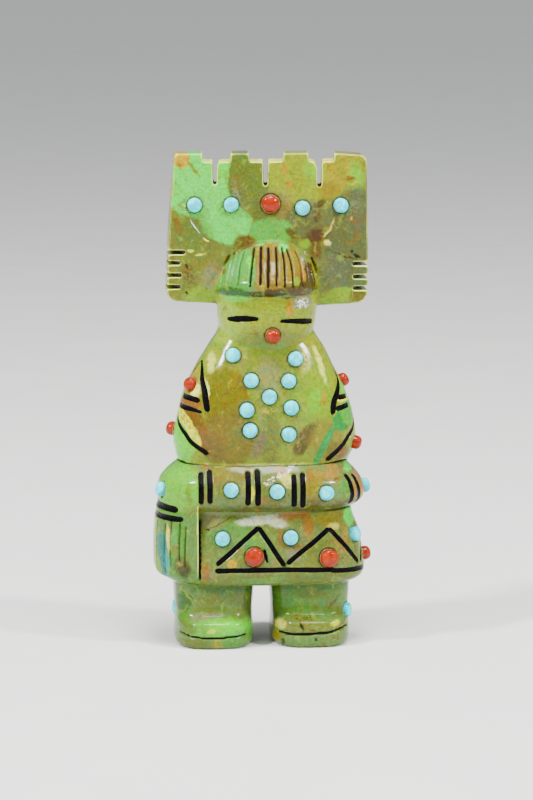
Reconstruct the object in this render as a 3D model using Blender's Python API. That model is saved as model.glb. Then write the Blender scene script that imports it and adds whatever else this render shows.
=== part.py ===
"""A small standing figure carved from one piece of green stone, with round cabochons set in it.

Units are metres, +Z is up and the figure faces -Y. The origin is at the middle of the figure's
bounds, on the surface that it stands on.

The free form is written in carving units: a figure FIGURE_HEIGHT tall measures UNITS_TALL of them,
so that one unit is one millimetre at the real size. What has a size of its own, such as the
headdress's thickness, a saw cut, an engraved line, a cabochon and its seat, is in metres.
"""

import math
from typing import NamedTuple

import bmesh
import bpy
from mathutils import Matrix, Vector
from mathutils.bvhtree import BVHTree

MM = 0.001

# Driving dimensions
FIGURE_HEIGHT = 79.8 * MM
HEADDRESS_THICKNESS = 6.6 * MM
HEADDRESS_CHAMFER = 0.4 * MM
SLOT_WIDTH = 0.7 * MM
NOTCH_WIDTH = 0.55 * MM
NOTCH_DISC_RADIUS = 11.0 * MM
STRAND_GROOVE_WIDTH = 0.55 * MM
STRAND_GROOVE_DEPTH = 0.5 * MM
LINE_WIDTH = 0.7 * MM
LINE_DEPTH = 0.35 * MM
FINE_LINE_WIDTH = 0.4 * MM
SASH_GROOVE_DEPTH = 0.6 * MM
TURQUOISE_DIAMETER = 2.35 * MM
CORAL_DIAMETER = 2.3 * MM
LARGE_CORAL_DIAMETER = 3.0 * MM
TURQUOISE_RISE = 1.0 * MM
CORAL_RISE = 1.35 * MM
CABOCHON_WALL = 0.35 * MM
SEAT_DEPTH = 0.9 * MM
GLUE_LINE = 0.1 * MM

UNITS_TALL = 79.8
UNIT = FIGURE_HEIGHT / UNITS_TALL


class Station(NamedTuple):
    """One level ring of a form, in carving units: its height, its middle, and its reach each way."""

    z: float
    centre: float
    half_width: float
    front: float
    back: float


class Form(NamedTuple):
    """A rounded form through its rings. A power of 2 is an ellipse, and a higher one is squarer."""

    power: float
    sides: int
    stations: tuple


TORSO = Form(2.6, 28, (
    Station(28.5, -0.40, 13.60, 7.4, 6.2),
    Station(29.9, -0.45, 13.90, 7.6, 6.3),
    Station(31.5, -0.30, 14.50, 8.0, 6.6),
    Station(33.6, -0.18, 14.90, 8.4, 6.8),
    Station(37.4, -0.07, 14.35, 8.6, 6.9),
    Station(41.3, -0.15, 13.20, 8.4, 6.7),
    Station(45.2, -0.20, 11.30, 7.6, 6.2),
    Station(48.5, 0.00, 9.50, 6.5, 5.8),
    Station(51.5, 0.00, 7.75, 5.5, 5.2),
    Station(55.0, 0.20, 7.30, 5.0, 4.9),
    Station(58.0, 0.30, 7.00, 4.5, 4.4),
))
HEAD = Form(2.3, 26, (
    Station(47.4, 0.25, 3.00, 5.0, 2.0),
    Station(48.2, 0.25, 5.00, 6.2, 2.4),
    Station(49.3, 0.25, 6.60, 6.9, 2.8),
    Station(51.0, 0.15, 7.55, 7.3, 3.2),
    Station(53.0, 0.15, 7.95, 7.5, 3.4),
    Station(55.0, 0.25, 8.15, 7.5, 3.4),
    Station(57.0, 0.35, 8.25, 7.3, 3.4),
    Station(58.8, 0.45, 7.90, 6.8, 3.2),
))
HAIR_STATIONS = (
    Station(57.2, 0.45, 8.60, 8.3, 2.0),
    Station(58.7, 0.45, 8.25, 8.1, 2.0),
    Station(60.6, 0.45, 7.40, 7.1, 2.0),
    Station(62.1, 0.45, 6.50, 5.9, 1.9),
    Station(63.5, 0.45, 5.10, 4.3, 1.8),
    Station(64.4, 0.45, 3.40, 2.9, 1.6),
    Station(64.9, 0.45, 1.60, 1.8, 1.2),
)
BELT = Form(2.6, 32, (
    Station(21.5, -1.20, 14.40, 8.2, 6.0),
    Station(22.0, -1.20, 15.20, 8.9, 6.6),
    Station(22.7, -1.00, 16.20, 9.7, 7.2),
    Station(23.7, -0.85, 16.80, 10.3, 7.7),
    Station(25.2, -0.75, 17.00, 10.6, 7.9),
    Station(26.9, -0.85, 16.50, 10.4, 7.7),
    Station(28.2, -0.90, 15.50, 9.8, 7.2),
    Station(29.3, -0.80, 14.40, 9.0, 6.6),
    Station(30.1, -0.60, 13.60, 8.2, 6.0),
))
SKIRT = Form(2.8, 32, (
    Station(9.8, -0.45, 13.90, 8.0, 5.6),
    Station(10.5, -0.45, 15.30, 9.0, 6.4),
    Station(11.3, -0.45, 16.30, 9.6, 6.9),
    Station(12.4, -0.45, 16.70, 9.8, 7.1),
    Station(14.9, -0.40, 16.25, 9.6, 7.0),
    Station(18.3, -0.40, 15.70, 9.1, 6.8),
    Station(20.9, -0.40, 14.75, 8.6, 6.5),
    Station(22.6, -0.40, 14.10, 8.2, 6.3),
))
SASH = Form(2.6, 32, (
    Station(10.4, -0.90, 14.90, 8.6, 6.0),
    Station(10.9, -0.90, 15.90, 9.4, 6.4),
    Station(11.6, -0.90, 16.50, 9.9, 6.6),
    Station(13.0, -0.90, 16.95, 10.2, 6.8),
    Station(16.6, -0.90, 17.06, 10.2, 6.8),
    Station(21.6, -0.90, 16.80, 10.1, 6.8),
    Station(23.6, -0.85, 16.85, 10.4, 6.8),
    Station(26.0, -0.85, 16.60, 10.1, 6.6),
))
SASH_INNER_EDGE = -11.4
SASH_BACK_EDGE = 3.0
LEG = Form(3.0, 22, (
    Station(0.00, 0.0, 5.60, 8.50, 5.3),
    Station(0.45, 0.0, 6.05, 9.05, 5.7),
    Station(1.40, 0.0, 6.20, 9.30, 5.9),
    Station(3.20, 0.0, 6.15, 9.10, 5.8),
    Station(4.20, 0.0, 6.05, 8.60, 5.7),
    Station(5.00, 0.0, 6.00, 7.60, 5.6),
    Station(6.40, 0.0, 5.95, 6.90, 5.5),
    Station(9.00, 0.0, 5.95, 6.90, 5.4),
    Station(13.00, 0.0, 5.90, 6.80, 5.4),
))
LEG_MIDDLES = {"left": (-8.4, 0.0), "right": (7.3, 0.3)}

# The fringe of hair: the grooves between its strands, in degrees from the front
STRAND_GROOVES = (-78, -61, -45, -26, -14, -3, 7, 17, 28, 40, 53, 73)
STRANDS_END = 64.2
STRANDS_FADE = 2.0
HAIR_BACK_SIDES = 4

# The headdress: its outline (x, z, corner radius), and what is sawn from its edges
HEADDRESS_FRONT = -1.0
HEADDRESS_CORNERS = (
    (-15.90, 56.0, 1.8),
    (-7.90, 55.5, 0.0),
    (9.00, 55.1, 0.0),
    (16.65, 55.5, 2.2),
    (16.15, 79.3, 1.4),
    (10.90, 79.8, 0.0),
    (-14.50, 79.8, 0.5),
    (-15.45, 67.0, 0.0),
)
CORNER_STEPS = 4
STEP_FLOOR = 78.4
STEPS = ((-10.2, -5.7), (-2.6, 2.7), (6.8, 11.0))
SLOTS = ((-8.2, 74.7), (-0.1, 74.35), (8.7, 74.3))
SLOT_END_SIDES = 4
NOTCHES = (
    (-15.75, ((63.9, 3.0), (62.2, 2.2), (60.2, 2.4), (58.3, 2.2))),
    (16.55, ((61.9, 2.6), (59.75, 2.5), (57.9, 2.5))),
)
NOTCH_DISC_SIDES = 40
ABOVE = 90.0
BESIDE = 40.0


class Look(NamedTuple):
    """A straight look at the figure, which finds a place on its surface."""

    start: Vector
    direction: Vector


def front(x, z):
    """A look straight at the front, in carving units."""
    return Look(Vector((x, -BESIDE, z)) * UNIT, Vector((0.0, 1.0, 0.0)))


def around(turn, z):
    """A level look at the body's axis, from turn degrees off the front, with +X as positive."""
    outward = Vector((math.sin(math.radians(turn)), -math.cos(math.radians(turn)), 0.0))
    return Look((outward * BESIDE + Vector((0.0, 0.0, z))) * UNIT, -outward)


class Line(NamedTuple):
    """An engraved line: its widths along the way, as shares of the full width, and its looks."""

    widths: tuple
    looks: tuple


PLAIN = (1.0,)
SWELLING = (0.5, 0.9, 1.0)

EYES = (
    Line((0.8, 1.15, 1.1, 0.6), (front(-6.5, 53.5), front(-4.0, 53.7), front(-1.65, 53.75))),
    Line((0.5, 0.95, 1.05, 1.0), (front(1.95, 53.35), front(4.5, 53.25), front(7.3, 52.95))),
)
ARM_LINES = (
    Line(SWELLING, (around(-77.5, 46.6), around(-69.7, 45.4), around(-64, 43.7),
                    around(-58.9, 42.0), around(-56.6, 40.6), around(-54.1, 38.8))),
    Line((0.5, 0.8), (around(-78, 46.5), around(-82, 45.4), around(-85, 44.3))),
    Line(PLAIN, (around(-83.5, 40.8), around(-70, 40.6), around(-61.7, 40.4))),
    Line((1.0, 1.0, 0.6), (around(-85, 39.15), around(-70, 39.0), around(-58.5, 38.6))),
    Line((0.8,), (around(-86, 38.0), around(-81, 36.8), around(-74.8, 35.8),
                  around(-69, 34.8), around(-64.2, 33.6), around(-55, 31.8))),
    Line(SWELLING, (around(78.3, 44.8), around(74.7, 43.6), around(69.5, 42.5),
                    around(63.6, 41.2), around(59.4, 39.8), around(57.3, 38.1))),
    Line((0.8,), (around(63.9, 40.6), around(77.5, 40.6))),
    Line((0.8,), (around(60.6, 38.9), around(75.5, 39.25))),
    Line((0.8,), (around(82, 36.7), around(76, 35.5), around(70.2, 34.4),
                  around(66.1, 33.2), around(61.6, 31.9), around(56.4, 30.5))),
)
BELT_BARS = tuple(Line(PLAIN, (front(x, top), front(x, low))) for x, top, low in (
    (-11.0, 29.0, 24.0), (-9.6, 29.4, 24.1), (-3.5, 29.2, 23.9),
    (-1.9, 29.5, 23.8), (3.95, 28.7, 23.5), (5.4, 28.9, 23.3),
)) + (
    Line((0.85,), (around(63.3, 27.8), around(62.7, 25.5), around(63.4, 23.7))),
    Line((0.85,), (around(70.5, 27.5), around(69.5, 25.3), around(71.5, 23.5))),
)
SASH_BANDS = (
    Line((0.8,), (around(-112, 22.9), around(-89, 22.9), around(-75, 22.85), around(-55, 22.5))),
    Line((0.8,), (around(-112, 21.7), around(-86, 21.6), around(-68, 21.4), around(-53, 21.8))),
)
FRINGE_TOP, FRINGE_FOOT = 20.6, 12.0
FRINGE_TURNS = (-98, -88, -79, -71.5, -67.5, -62.2, -59.0, -55.8)
SASH_EDGE_LINE = Line(PLAIN, (front(-11.1, 21.3), front(-11.1, 16.0), front(-11.1, 11.2)))
SKIRT_LINES = (
    Line(PLAIN, (front(-8.5, 14.0), front(-1.7, 20.0))),
    Line(PLAIN, (front(-1.7, 20.0), front(2.5, 13.8))),
    Line(PLAIN, (front(2.9, 14.2), front(9.8, 19.5))),
    Line(PLAIN, (around(51.8, 19.5), around(60.5, 16.6), around(69.3, 13.6))),
    Line((0.7,), (around(72.5, 13.7), around(80, 16.4), around(88, 18.8))),
    Line((0.7,), (around(88, 18.8), around(96, 16.4), around(104, 13.7))),
    Line(PLAIN, (front(-8.7, 13.05), front(-2.9, 13.15), front(2.7, 13.15),
                 front(10.1, 12.9), around(62, 12.6), around(73.4, 12.45),
                 around(88, 12.4), around(105, 12.4))),
    Line((0.6,), (front(-0.8, 16.4), front(-0.3, 14.35))),
)
SOLE_HEIGHT = 1.85
SOLE_LINES = tuple(Line(PLAIN, tuple(front(x, SOLE_HEIGHT) for x in across)) for across in (
    (-13.9, -11.5, -8.8, -5.9, -3.0), (1.9, 4.6, 7.3, 10.0, 12.7),
))
LINE_STEP = 3.6 * MM
LINE_BEND = math.radians(24)
LINE_LIFT = 0.5 * MM


class Cut(NamedTuple):
    """A size of cabochon, with the colour of its stone."""

    diameter: float
    rise: float
    finish: str


TURQUOISE = Cut(TURQUOISE_DIAMETER, TURQUOISE_RISE, "turquoise")
CORAL = Cut(CORAL_DIAMETER, CORAL_RISE, "coral")
LARGE_CORAL = Cut(LARGE_CORAL_DIAMETER, CORAL_RISE, "coral")
CABOCHONS = {
    "headdress_turquoise": (TURQUOISE, (
        front(-11.5, 71.6), front(-5.6, 71.6), front(6.0, 71.0), front(12.2, 71.4))),
    "headdress_coral": (LARGE_CORAL, (front(0.8, 71.7),)),
    "mouth_coral": (CORAL, (front(0.7, 51.0),)),
    "chest_turquoise": (TURQUOISE, (
        front(-5.6, 47.7), front(4.4, 47.1), front(-2.8, 43.8), front(3.25, 43.65),
        front(0.1, 41.2), front(-3.5, 39.1), front(3.65, 39.4), front(-3.0, 35.8),
        front(3.25, 35.1))),
    "arm_coral": (CORAL, (
        around(-74, 42.65), around(-95, 34.8), around(85, 42.8), around(81, 32.9))),
    "belt_turquoise": (TURQUOISE, (
        around(-77, 25.7), front(-6.2, 26.4), front(1.2, 26.1), front(9.25, 25.6),
        around(86, 25.5))),
    "skirt_turquoise": (TURQUOISE, (front(-7.5, 18.2), front(3.5, 18.3), around(70.6, 18.1))),
    "skirt_coral_large": (LARGE_CORAL, (front(-2.4, 15.3), front(9.7, 14.8))),
    "skirt_coral": (CORAL, (around(86, 14.2),)),
    "leg_turquoise": (TURQUOISE, (around(-90, 5.5), around(73, 5.4))),
}
CABOCHON_SIDES = 10
DOME_RINGS = ((1.0, 0.0), (0.78, 0.62))

# Base colour, roughness and metallic value of each stone
FINISHES = {
    "green_stone": ((0.40, 0.48, 0.13, 1.0), 0.25, 0.0),
    "turquoise": ((0.20, 0.62, 0.78, 1.0), 0.20, 0.0),
    "coral": ((0.62, 0.06, 0.02, 1.0), 0.15, 0.0),
}


def new_object(name, mesh):
    """Puts a mesh in the scene as an object of its own."""
    thing = bpy.data.objects.new(name, mesh)
    bpy.context.scene.collection.objects.link(thing)
    return thing


def skin(name, rings):
    """A closed solid through rings of equally many points, with a flat face over each end ring."""
    shape = bmesh.new()
    loops = [[shape.verts.new(point) for point in ring] for ring in rings]
    for low, high in zip(loops, loops[1:]):
        for i in range(len(low)):
            j = (i + 1) % len(low)
            shape.faces.new((low[i], low[j], high[j], high[i]))
    shape.faces.new(loops[0][::-1])
    shape.faces.new(loops[-1])
    bmesh.ops.recalc_face_normals(shape, faces=shape.faces)
    mesh = bpy.data.meshes.new(name)
    shape.to_mesh(mesh)
    shape.free()
    return new_object(name, mesh)


def bent(value, power):
    """A sine or cosine, bent so that the circle that it draws turns squarer."""
    return math.copysign(abs(value) ** (2 / power), value)


def level_ring(station, power, sides, offset=(0.0, 0.0)):
    """The points of one ring, counter-clockwise seen from above."""
    points = []
    for i in range(sides):
        turn = 2 * math.pi * (i + 0.5) / sides
        across, along = bent(math.cos(turn), power), bent(math.sin(turn), power)
        depth = station.back if along > 0 else station.front
        x = offset[0] + station.centre + station.half_width * across
        points.append(Vector((x, offset[1] + depth * along, station.z)) * UNIT)
    return points


def loft(name, form, offset=(0.0, 0.0)):
    """The solid of a form, moved by offset in carving units."""
    rings = [level_ring(s, form.power, form.sides, offset) for s in form.stations]
    return skin(name, rings)


def hair_ring(station, depth):
    """One ring of the fringe of hair, with a groove of this depth between strands, in metres."""
    reach = station.front * UNIT
    half_turn = math.degrees(STRAND_GROOVE_WIDTH / 2 / reach)
    crests = [(a + b) / 2 for a, b in zip(STRAND_GROOVES, STRAND_GROOVES[1:])]
    turns = [(crest, 0.0) for crest in crests + [-90.0, 90.0]]
    for groove in STRAND_GROOVES:
        turns += [(groove - half_turn, 0.0), (groove, depth), (groove + half_turn, 0.0)]
    turns.sort()
    points = []
    for turn, sunk in turns:
        across, along = math.sin(math.radians(turn)), -math.cos(math.radians(turn))
        x = (station.centre + station.half_width * across) * UNIT - sunk * across
        points.append(Vector((x, reach * along - sunk * along, station.z * UNIT)))
    for i in range(1, HAIR_BACK_SIDES):
        turn = math.pi * i / HAIR_BACK_SIDES
        x = station.centre + station.half_width * math.cos(turn)
        points.append(Vector((x, station.back * math.sin(turn), station.z)) * UNIT)
    return points


def hair():
    """The fringe of hair over the brow, whose grooves fade out towards the crown."""
    rings = []
    for station in HAIR_STATIONS:
        fade = (STRANDS_END - station.z) / STRANDS_FADE
        rings.append(hair_ring(station, STRAND_GROOVE_DEPTH * min(max(fade, 0.0), 1.0)))
    return skin("hair", rings)


def rounded(corners, steps):
    """An outline through corners (x, z, radius), with each corner turned into a short arc."""
    points = []
    for i, (x, z, radius) in enumerate(corners):
        corner = Vector((x, z))
        back = (Vector(corners[i - 1][:2]) - corner).normalized()
        ahead = (Vector(corners[(i + 1) % len(corners)][:2]) - corner).normalized()
        if radius == 0:
            points.append(corner)
            continue
        half = back.angle(ahead) / 2
        cut = radius / math.tan(half)
        middle = corner + (back + ahead).normalized() * radius / math.sin(half)
        first, last = corner + back * cut - middle, corner + ahead * cut - middle
        for step in range(steps + 1):
            share = step / steps
            spoke = first * math.sin((1 - share) * (math.pi / 2 - half) * 2)
            spoke += last * math.sin(share * (math.pi / 2 - half) * 2)
            points.append(middle + spoke.normalized() * radius)
    return points


def inset(outline, distance):
    """The outline moved inwards by a distance. It runs counter-clockwise."""
    moved = []
    for i, point in enumerate(outline):
        back = (point - outline[i - 1]).normalized()
        ahead = (outline[(i + 1) % len(outline)] - point).normalized()
        inward = Vector((-(back + ahead).y, (back + ahead).x)).normalized()
        moved.append(point + inward * distance / max(inward.dot(Vector((-back.y, back.x))), 0.5))
    return moved


def headdress_plate():
    """The headdress before its steps and saw cuts: a plate with its edges taken off."""
    outline = [point * UNIT for point in rounded(HEADDRESS_CORNERS, CORNER_STEPS)]
    inner = inset(outline, HEADDRESS_CHAMFER)
    front = HEADDRESS_FRONT * UNIT
    back = front + HEADDRESS_THICKNESS
    levels = (
        (inner, front), (outline, front + HEADDRESS_CHAMFER),
        (outline, back - HEADDRESS_CHAMFER), (inner, back),
    )
    rings = [[Vector((p.x, y, p.y)) for p in ring] for ring, y in levels]
    return skin("headdress", rings)


def box(name, low, high):
    """A block between two corners, in metres."""
    rings = []
    for z in (low[2], high[2]):
        rings.append([Vector((x, y, z)) for x, y in (
            (low[0], low[1]), (high[0], low[1]), (high[0], high[1]), (low[0], high[1]))])
    return skin(name, rings)


def headdress_cutters():
    """What is sawn from the headdress: the steps and slots of its top edge, and its side notches."""
    near = HEADDRESS_FRONT * UNIT - HEADDRESS_THICKNESS
    far = HEADDRESS_FRONT * UNIT + 2 * HEADDRESS_THICKNESS
    cutters = []
    for left, right in STEPS:
        low, high = (left * UNIT, near, STEP_FLOOR * UNIT), (right * UNIT, far, ABOVE * UNIT)
        cutters.append(box("step", low, high))
    for x, floor in SLOTS:
        ends = []
        for i in range(SLOT_END_SIDES + 1):
            turn = math.pi * i / SLOT_END_SIDES
            ends.append((-math.cos(turn), 1 - math.sin(turn)))
        half = SLOT_WIDTH / 2
        outline = [(x * UNIT + a * half, floor * UNIT + b * half) for a, b in ends]
        outline += [(x * UNIT + half, ABOVE * UNIT), (x * UNIT - half, ABOVE * UNIT)]
        cutters.append(skin("slot", [[Vector((a, y, b)) for a, b in outline] for y in (near, far)]))
    for edge, notches in NOTCHES:
        for z, reach in notches:
            cutters.append(notch_disc(edge, z * UNIT, reach * UNIT))
    return cutters


def notch_disc(edge, z, reach):
    """The saw disc of one notch: it bites this far into a side edge, level with the front face."""
    middle = edge * UNIT + math.copysign(NOTCH_DISC_RADIUS - reach, edge)
    rings = []
    for height in (z - NOTCH_WIDTH / 2, z + NOTCH_WIDTH / 2):
        ring = []
        for i in range(NOTCH_DISC_SIDES):
            turn = 2 * math.pi * (i + 0.5) / NOTCH_DISC_SIDES
            x = middle + NOTCH_DISC_RADIUS * math.cos(turn)
            y = HEADDRESS_FRONT * UNIT + NOTCH_DISC_RADIUS * math.sin(turn)
            ring.append(Vector((x, y, height)))
        rings.append(ring)
    return skin("notch", rings)


def carve(target, operation, tools):
    """Joins the tools to the target or cuts them from it, with an exact Boolean, and removes them."""
    group = bpy.data.collections.new("tools")
    for tool in tools:
        group.objects.link(tool)
    modifier = target.modifiers.new(operation.lower(), "BOOLEAN")
    modifier.operation = operation
    modifier.operand_type = "COLLECTION"
    modifier.collection = group
    graph = bpy.context.evaluated_depsgraph_get()
    graph.update()
    result = bpy.data.meshes.new_from_object(target.evaluated_get(graph))
    target.modifiers.remove(modifier)
    target.data = result
    for tool in tools:
        bpy.data.objects.remove(tool)
    bpy.data.collections.remove(group)


def figure_blank():
    """The whole figure before any line is engraved: all its forms, joined into one solid."""
    figure = headdress_plate()
    figure.name = "stone_figure"
    carve(figure, "DIFFERENCE", headdress_cutters())
    sash = loft("sash", SASH)
    low = Vector((-BESIDE, -BESIDE, 0.0)) * UNIT
    high = Vector((SASH_INNER_EDGE, SASH_BACK_EDGE, ABOVE)) * UNIT
    carve(sash, "INTERSECT", [box("sash_limits", low, high)])
    forms = [loft("torso", TORSO), loft("head", HEAD), hair(), loft("belt", BELT)]
    forms += [loft("skirt", SKIRT), sash]
    forms += [loft("leg_" + side, LEG, middle) for side, middle in LEG_MIDDLES.items()]
    carve(figure, "UNION", forms)
    return figure


class Surface:
    """The blank's surface, on which looks find their places."""

    def __init__(self, mesh):
        points = [vertex.co for vertex in mesh.vertices]
        self.tree = BVHTree.FromPolygons(points, [face.vertices for face in mesh.polygons])

    def at(self, look):
        """The place that a look finds, and the way that the surface faces there."""
        place, normal, _, _ = self.tree.ray_cast(look.start, look.direction)
        return place, normal


def share_of(values, share):
    """The value this share of the way along a run of evenly spaced values."""
    spot = share * (len(values) - 1)
    i = min(int(spot), max(len(values) - 2, 0))
    return values[i] if len(values) == 1 else values[i] + (values[i + 1] - values[i]) * (spot - i)


def path_on(surface, looks):
    """The places and facings under a run of looks, with more between those that lie far apart."""
    found = [surface.at(looks[0])]
    for first, second in zip(looks, looks[1:]):
        (place, facing), (next_place, next_facing) = surface.at(first), surface.at(second)
        bends = facing.angle(next_facing) / LINE_BEND
        steps = max(math.ceil((next_place - place).length / LINE_STEP), math.ceil(bends), 1)
        for i in range(1, steps + 1):
            start = first.start.lerp(second.start, i / steps)
            direction = first.direction.lerp(second.direction, i / steps).normalized()
            found.append(surface.at(Look(start, direction)))
    return found


def line_cutter(surface, line, depth):
    """The solid that engraves a line: a wedge that follows the surface."""
    found = path_on(surface, line.looks)
    places = [place for place, _ in found]
    facings = [facing for _, facing in found]
    widths = [LINE_WIDTH * share_of(line.widths, i / (len(found) - 1)) for i in range(len(found))]
    rings = []
    for i, (place, facing, width) in enumerate(zip(places, facings, widths)):
        ahead = places[min(i + 1, len(places) - 1)] - places[max(i - 1, 0)]
        across = facing.cross(ahead).normalized() * width / 2 * (depth + LINE_LIFT) / depth
        top = place + facing * LINE_LIFT
        rings.append([top + across, top - across, place - facing * depth])
    return skin("line", rings)


def engrave(figure, surface):
    """Cuts every line into the figure."""
    fringe_width = (FINE_LINE_WIDTH / LINE_WIDTH,)
    fringe = tuple(
        Line(fringe_width, (around(turn, FRINGE_TOP), around(turn, FRINGE_FOOT)))
        for turn in FRINGE_TURNS)
    lines = EYES + ARM_LINES + BELT_BARS + SASH_BANDS + fringe + SKIRT_LINES + SOLE_LINES
    cutters = [line_cutter(surface, line, LINE_DEPTH) for line in lines]
    cutters.append(line_cutter(surface, SASH_EDGE_LINE, SASH_GROOVE_DEPTH))
    carve(figure, "DIFFERENCE", cutters)


def disc_ring(radius, height):
    """A ring of points about the Z axis."""
    ring = []
    for i in range(CABOCHON_SIDES):
        turn = 2 * math.pi * i / CABOCHON_SIDES
        ring.append(Vector((radius * math.cos(turn), radius * math.sin(turn), height)))
    return ring


def cabochon_mesh(name, cut):
    """A cabochon about the Z axis, with its seat's edge at height 0: a low drum under a dome."""
    radius = cut.diameter / 2
    dome = cut.rise - CABOCHON_WALL
    shape = bmesh.new()
    rings = [disc_ring(radius, GLUE_LINE - SEAT_DEPTH)]
    for across, up in DOME_RINGS:
        rings.append(disc_ring(radius * across, CABOCHON_WALL + dome * up))
    loops = [[shape.verts.new(point) for point in ring] for ring in rings]
    crown = shape.verts.new((0.0, 0.0, cut.rise))
    for i in range(CABOCHON_SIDES):
        j = (i + 1) % CABOCHON_SIDES
        for low, high in zip(loops, loops[1:]):
            shape.faces.new((low[i], low[j], high[j], high[i]))
        shape.faces.new((loops[-1][i], loops[-1][j], crown))
    shape.faces.new(loops[0][::-1])
    mesh = bpy.data.meshes.new(name)
    shape.to_mesh(mesh)
    shape.free()
    mesh.shade_smooth()
    mesh.set_sharp_from_angle(angle=math.radians(40))
    return mesh


def place_on(thing, place, facing):
    """Stands an object on the surface, with its Z axis the way that the surface faces."""
    thing.location = place
    thing.rotation_euler = facing.to_track_quat("Z", "Y").to_euler()


def set_cabochons(figure, surface):
    """Sinks a seat for every cabochon and sets the cabochon in it, on a thin line of glue."""
    seats, stones = [], []
    for group, (cut, looks) in CABOCHONS.items():
        mesh = cabochon_mesh(group, cut)
        mesh.materials.append(material(cut.finish))
        for i, look in enumerate(looks, start=1):
            name = group if len(looks) == 1 else f"{group}_{i}"
            stone = new_object(name, mesh)
            radius = cut.diameter / 2 + GLUE_LINE
            seat = skin("seat", [disc_ring(radius, -SEAT_DEPTH), disc_ring(radius, cut.rise)])
            for thing in (stone, seat):
                place_on(thing, *surface.at(look))
            seats.append(seat)
            stones.append(stone)
    carve(figure, "DIFFERENCE", seats)
    return stones


def material(name):
    """The finish of this name, made once."""
    if name in bpy.data.materials:
        return bpy.data.materials[name]
    colour, roughness, metallic = FINISHES[name]
    made = bpy.data.materials.new(name)
    made.use_nodes = True
    shader = made.node_tree.nodes["Principled BSDF"]
    shader.inputs["Base Color"].default_value = colour
    shader.inputs["Roughness"].default_value = roughness
    shader.inputs["Metallic"].default_value = metallic
    return made


def stand_at_origin(pieces):
    """Parents the pieces to an empty that puts the middle of their bounds over the origin."""
    bpy.context.view_layer.update()
    corners = [piece.matrix_world @ Vector(c) for piece in pieces for c in piece.bound_box]
    low = Vector([min(corner[i] for corner in corners) for i in range(3)])
    high = Vector([max(corner[i] for corner in corners) for i in range(3)])
    footing = new_object("footing", None)
    footing.location = (-(low.x + high.x) / 2, -(low.y + high.y) / 2, -low.z)
    for piece in pieces:
        piece.parent = footing


def main():
    for thing in list(bpy.data.objects):
        bpy.data.objects.remove(thing)
    figure = figure_blank()
    surface = Surface(figure.data)
    engrave(figure, surface)
    stones = set_cabochons(figure, surface)
    figure.data.materials.clear()
    figure.data.materials.append(material("green_stone"))
    figure.data.shade_smooth()
    figure.data.set_sharp_from_angle(angle=math.radians(30))
    stand_at_origin([figure] + stones)


if __name__ == "__main__":
    main()
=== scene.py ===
"""The looks of a small standing figure, carved from one green stone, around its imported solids.

The carver's bench below works in millimetres, in the figure's own carving frame: +Z is up, the
figure faces -Y, and the body's axis is x = y = 0. Each finished piece is moved into the frame of
the solids, in metres, with its place in its mesh.
"""

from __future__ import annotations

import logging
import math
from dataclasses import dataclass, field
from enum import Enum

import bmesh
import bpy
import numpy as np
from mathutils import Matrix, Vector, noise
from mathutils.bvhtree import BVHTree

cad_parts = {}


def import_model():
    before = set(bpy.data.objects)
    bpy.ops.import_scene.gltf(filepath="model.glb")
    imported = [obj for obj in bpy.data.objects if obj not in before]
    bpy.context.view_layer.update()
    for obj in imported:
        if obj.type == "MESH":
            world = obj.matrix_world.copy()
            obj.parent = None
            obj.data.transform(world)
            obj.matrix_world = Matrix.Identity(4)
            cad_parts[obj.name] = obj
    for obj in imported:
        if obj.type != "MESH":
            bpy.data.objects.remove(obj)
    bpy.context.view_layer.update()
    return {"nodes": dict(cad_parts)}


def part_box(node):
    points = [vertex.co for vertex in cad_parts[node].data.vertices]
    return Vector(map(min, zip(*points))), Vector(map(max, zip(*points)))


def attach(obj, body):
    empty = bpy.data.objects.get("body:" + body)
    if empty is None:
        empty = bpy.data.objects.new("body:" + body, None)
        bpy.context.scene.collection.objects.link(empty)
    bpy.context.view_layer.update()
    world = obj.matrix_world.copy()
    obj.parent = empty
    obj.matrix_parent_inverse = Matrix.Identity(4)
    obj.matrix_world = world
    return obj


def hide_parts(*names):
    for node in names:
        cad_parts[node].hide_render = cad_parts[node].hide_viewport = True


MM = 0.001
BODY = "root"
LOG = logging.getLogger("carving")

Thing = bpy.types.Object
Socket = bpy.types.NodeSocket
Colour = tuple[float, float, float, float]
Place = tuple[float, float]
Way = tuple[float, float, float]
Ring = tuple[float, float, float, float, float]


class Slot(Enum):
    """The record's material slots."""

    STONE = "green_stone"
    TURQUOISE = "turquoise"
    CORAL = "coral"
    INK = "line_ink"
    GLUE = "setting_glue"


def clear_selection() -> None:
    """Deselects every object."""
    bpy.ops.object.select_all(action="DESELECT")


def take(thing: Thing) -> Thing:
    """Makes an object the only one selected, and the active one.

    Args:
        thing: the object to take in hand.

    Returns:
        The same object.
    """
    clear_selection()
    thing.select_set(True)
    bpy.context.view_layer.objects.active = thing
    return thing


def work(thing: Thing, kind: str, **settings: object) -> None:
    """Adds a modifier with these settings to an object and applies it.

    Args:
        thing: the object to change.
        kind: the modifier's type, such as SMOOTH.
        **settings: the modifier's own values.
    """
    take(thing)
    modifier = thing.modifiers.new(kind.lower(), kind)
    for name, value in settings.items():
        setattr(modifier, name, value)
    bpy.ops.object.modifier_apply(modifier=modifier.name)


def cut_with(thing: Thing, cutter: Thing) -> None:
    """Cuts one closed shape from another and removes the cutter.

    Args:
        thing: the shape that is cut.
        cutter: the shape that is taken away.
    """
    work(thing, "BOOLEAN", operation="DIFFERENCE", object=cutter, solver="EXACT")
    bpy.data.objects.remove(cutter)


def join(things: list[Thing], name: str) -> Thing:
    """Joins several objects into the first of them.

    Args:
        things: the objects, of which the first one stays.
        name: the joined object's name.

    Returns:
        The joined object.
    """
    clear_selection()
    for thing in things:
        thing.select_set(True)
    bpy.context.view_layer.objects.active = things[0]
    if len(things) > 1:
        bpy.ops.object.join()
    things[0].name = name
    return things[0]


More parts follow.
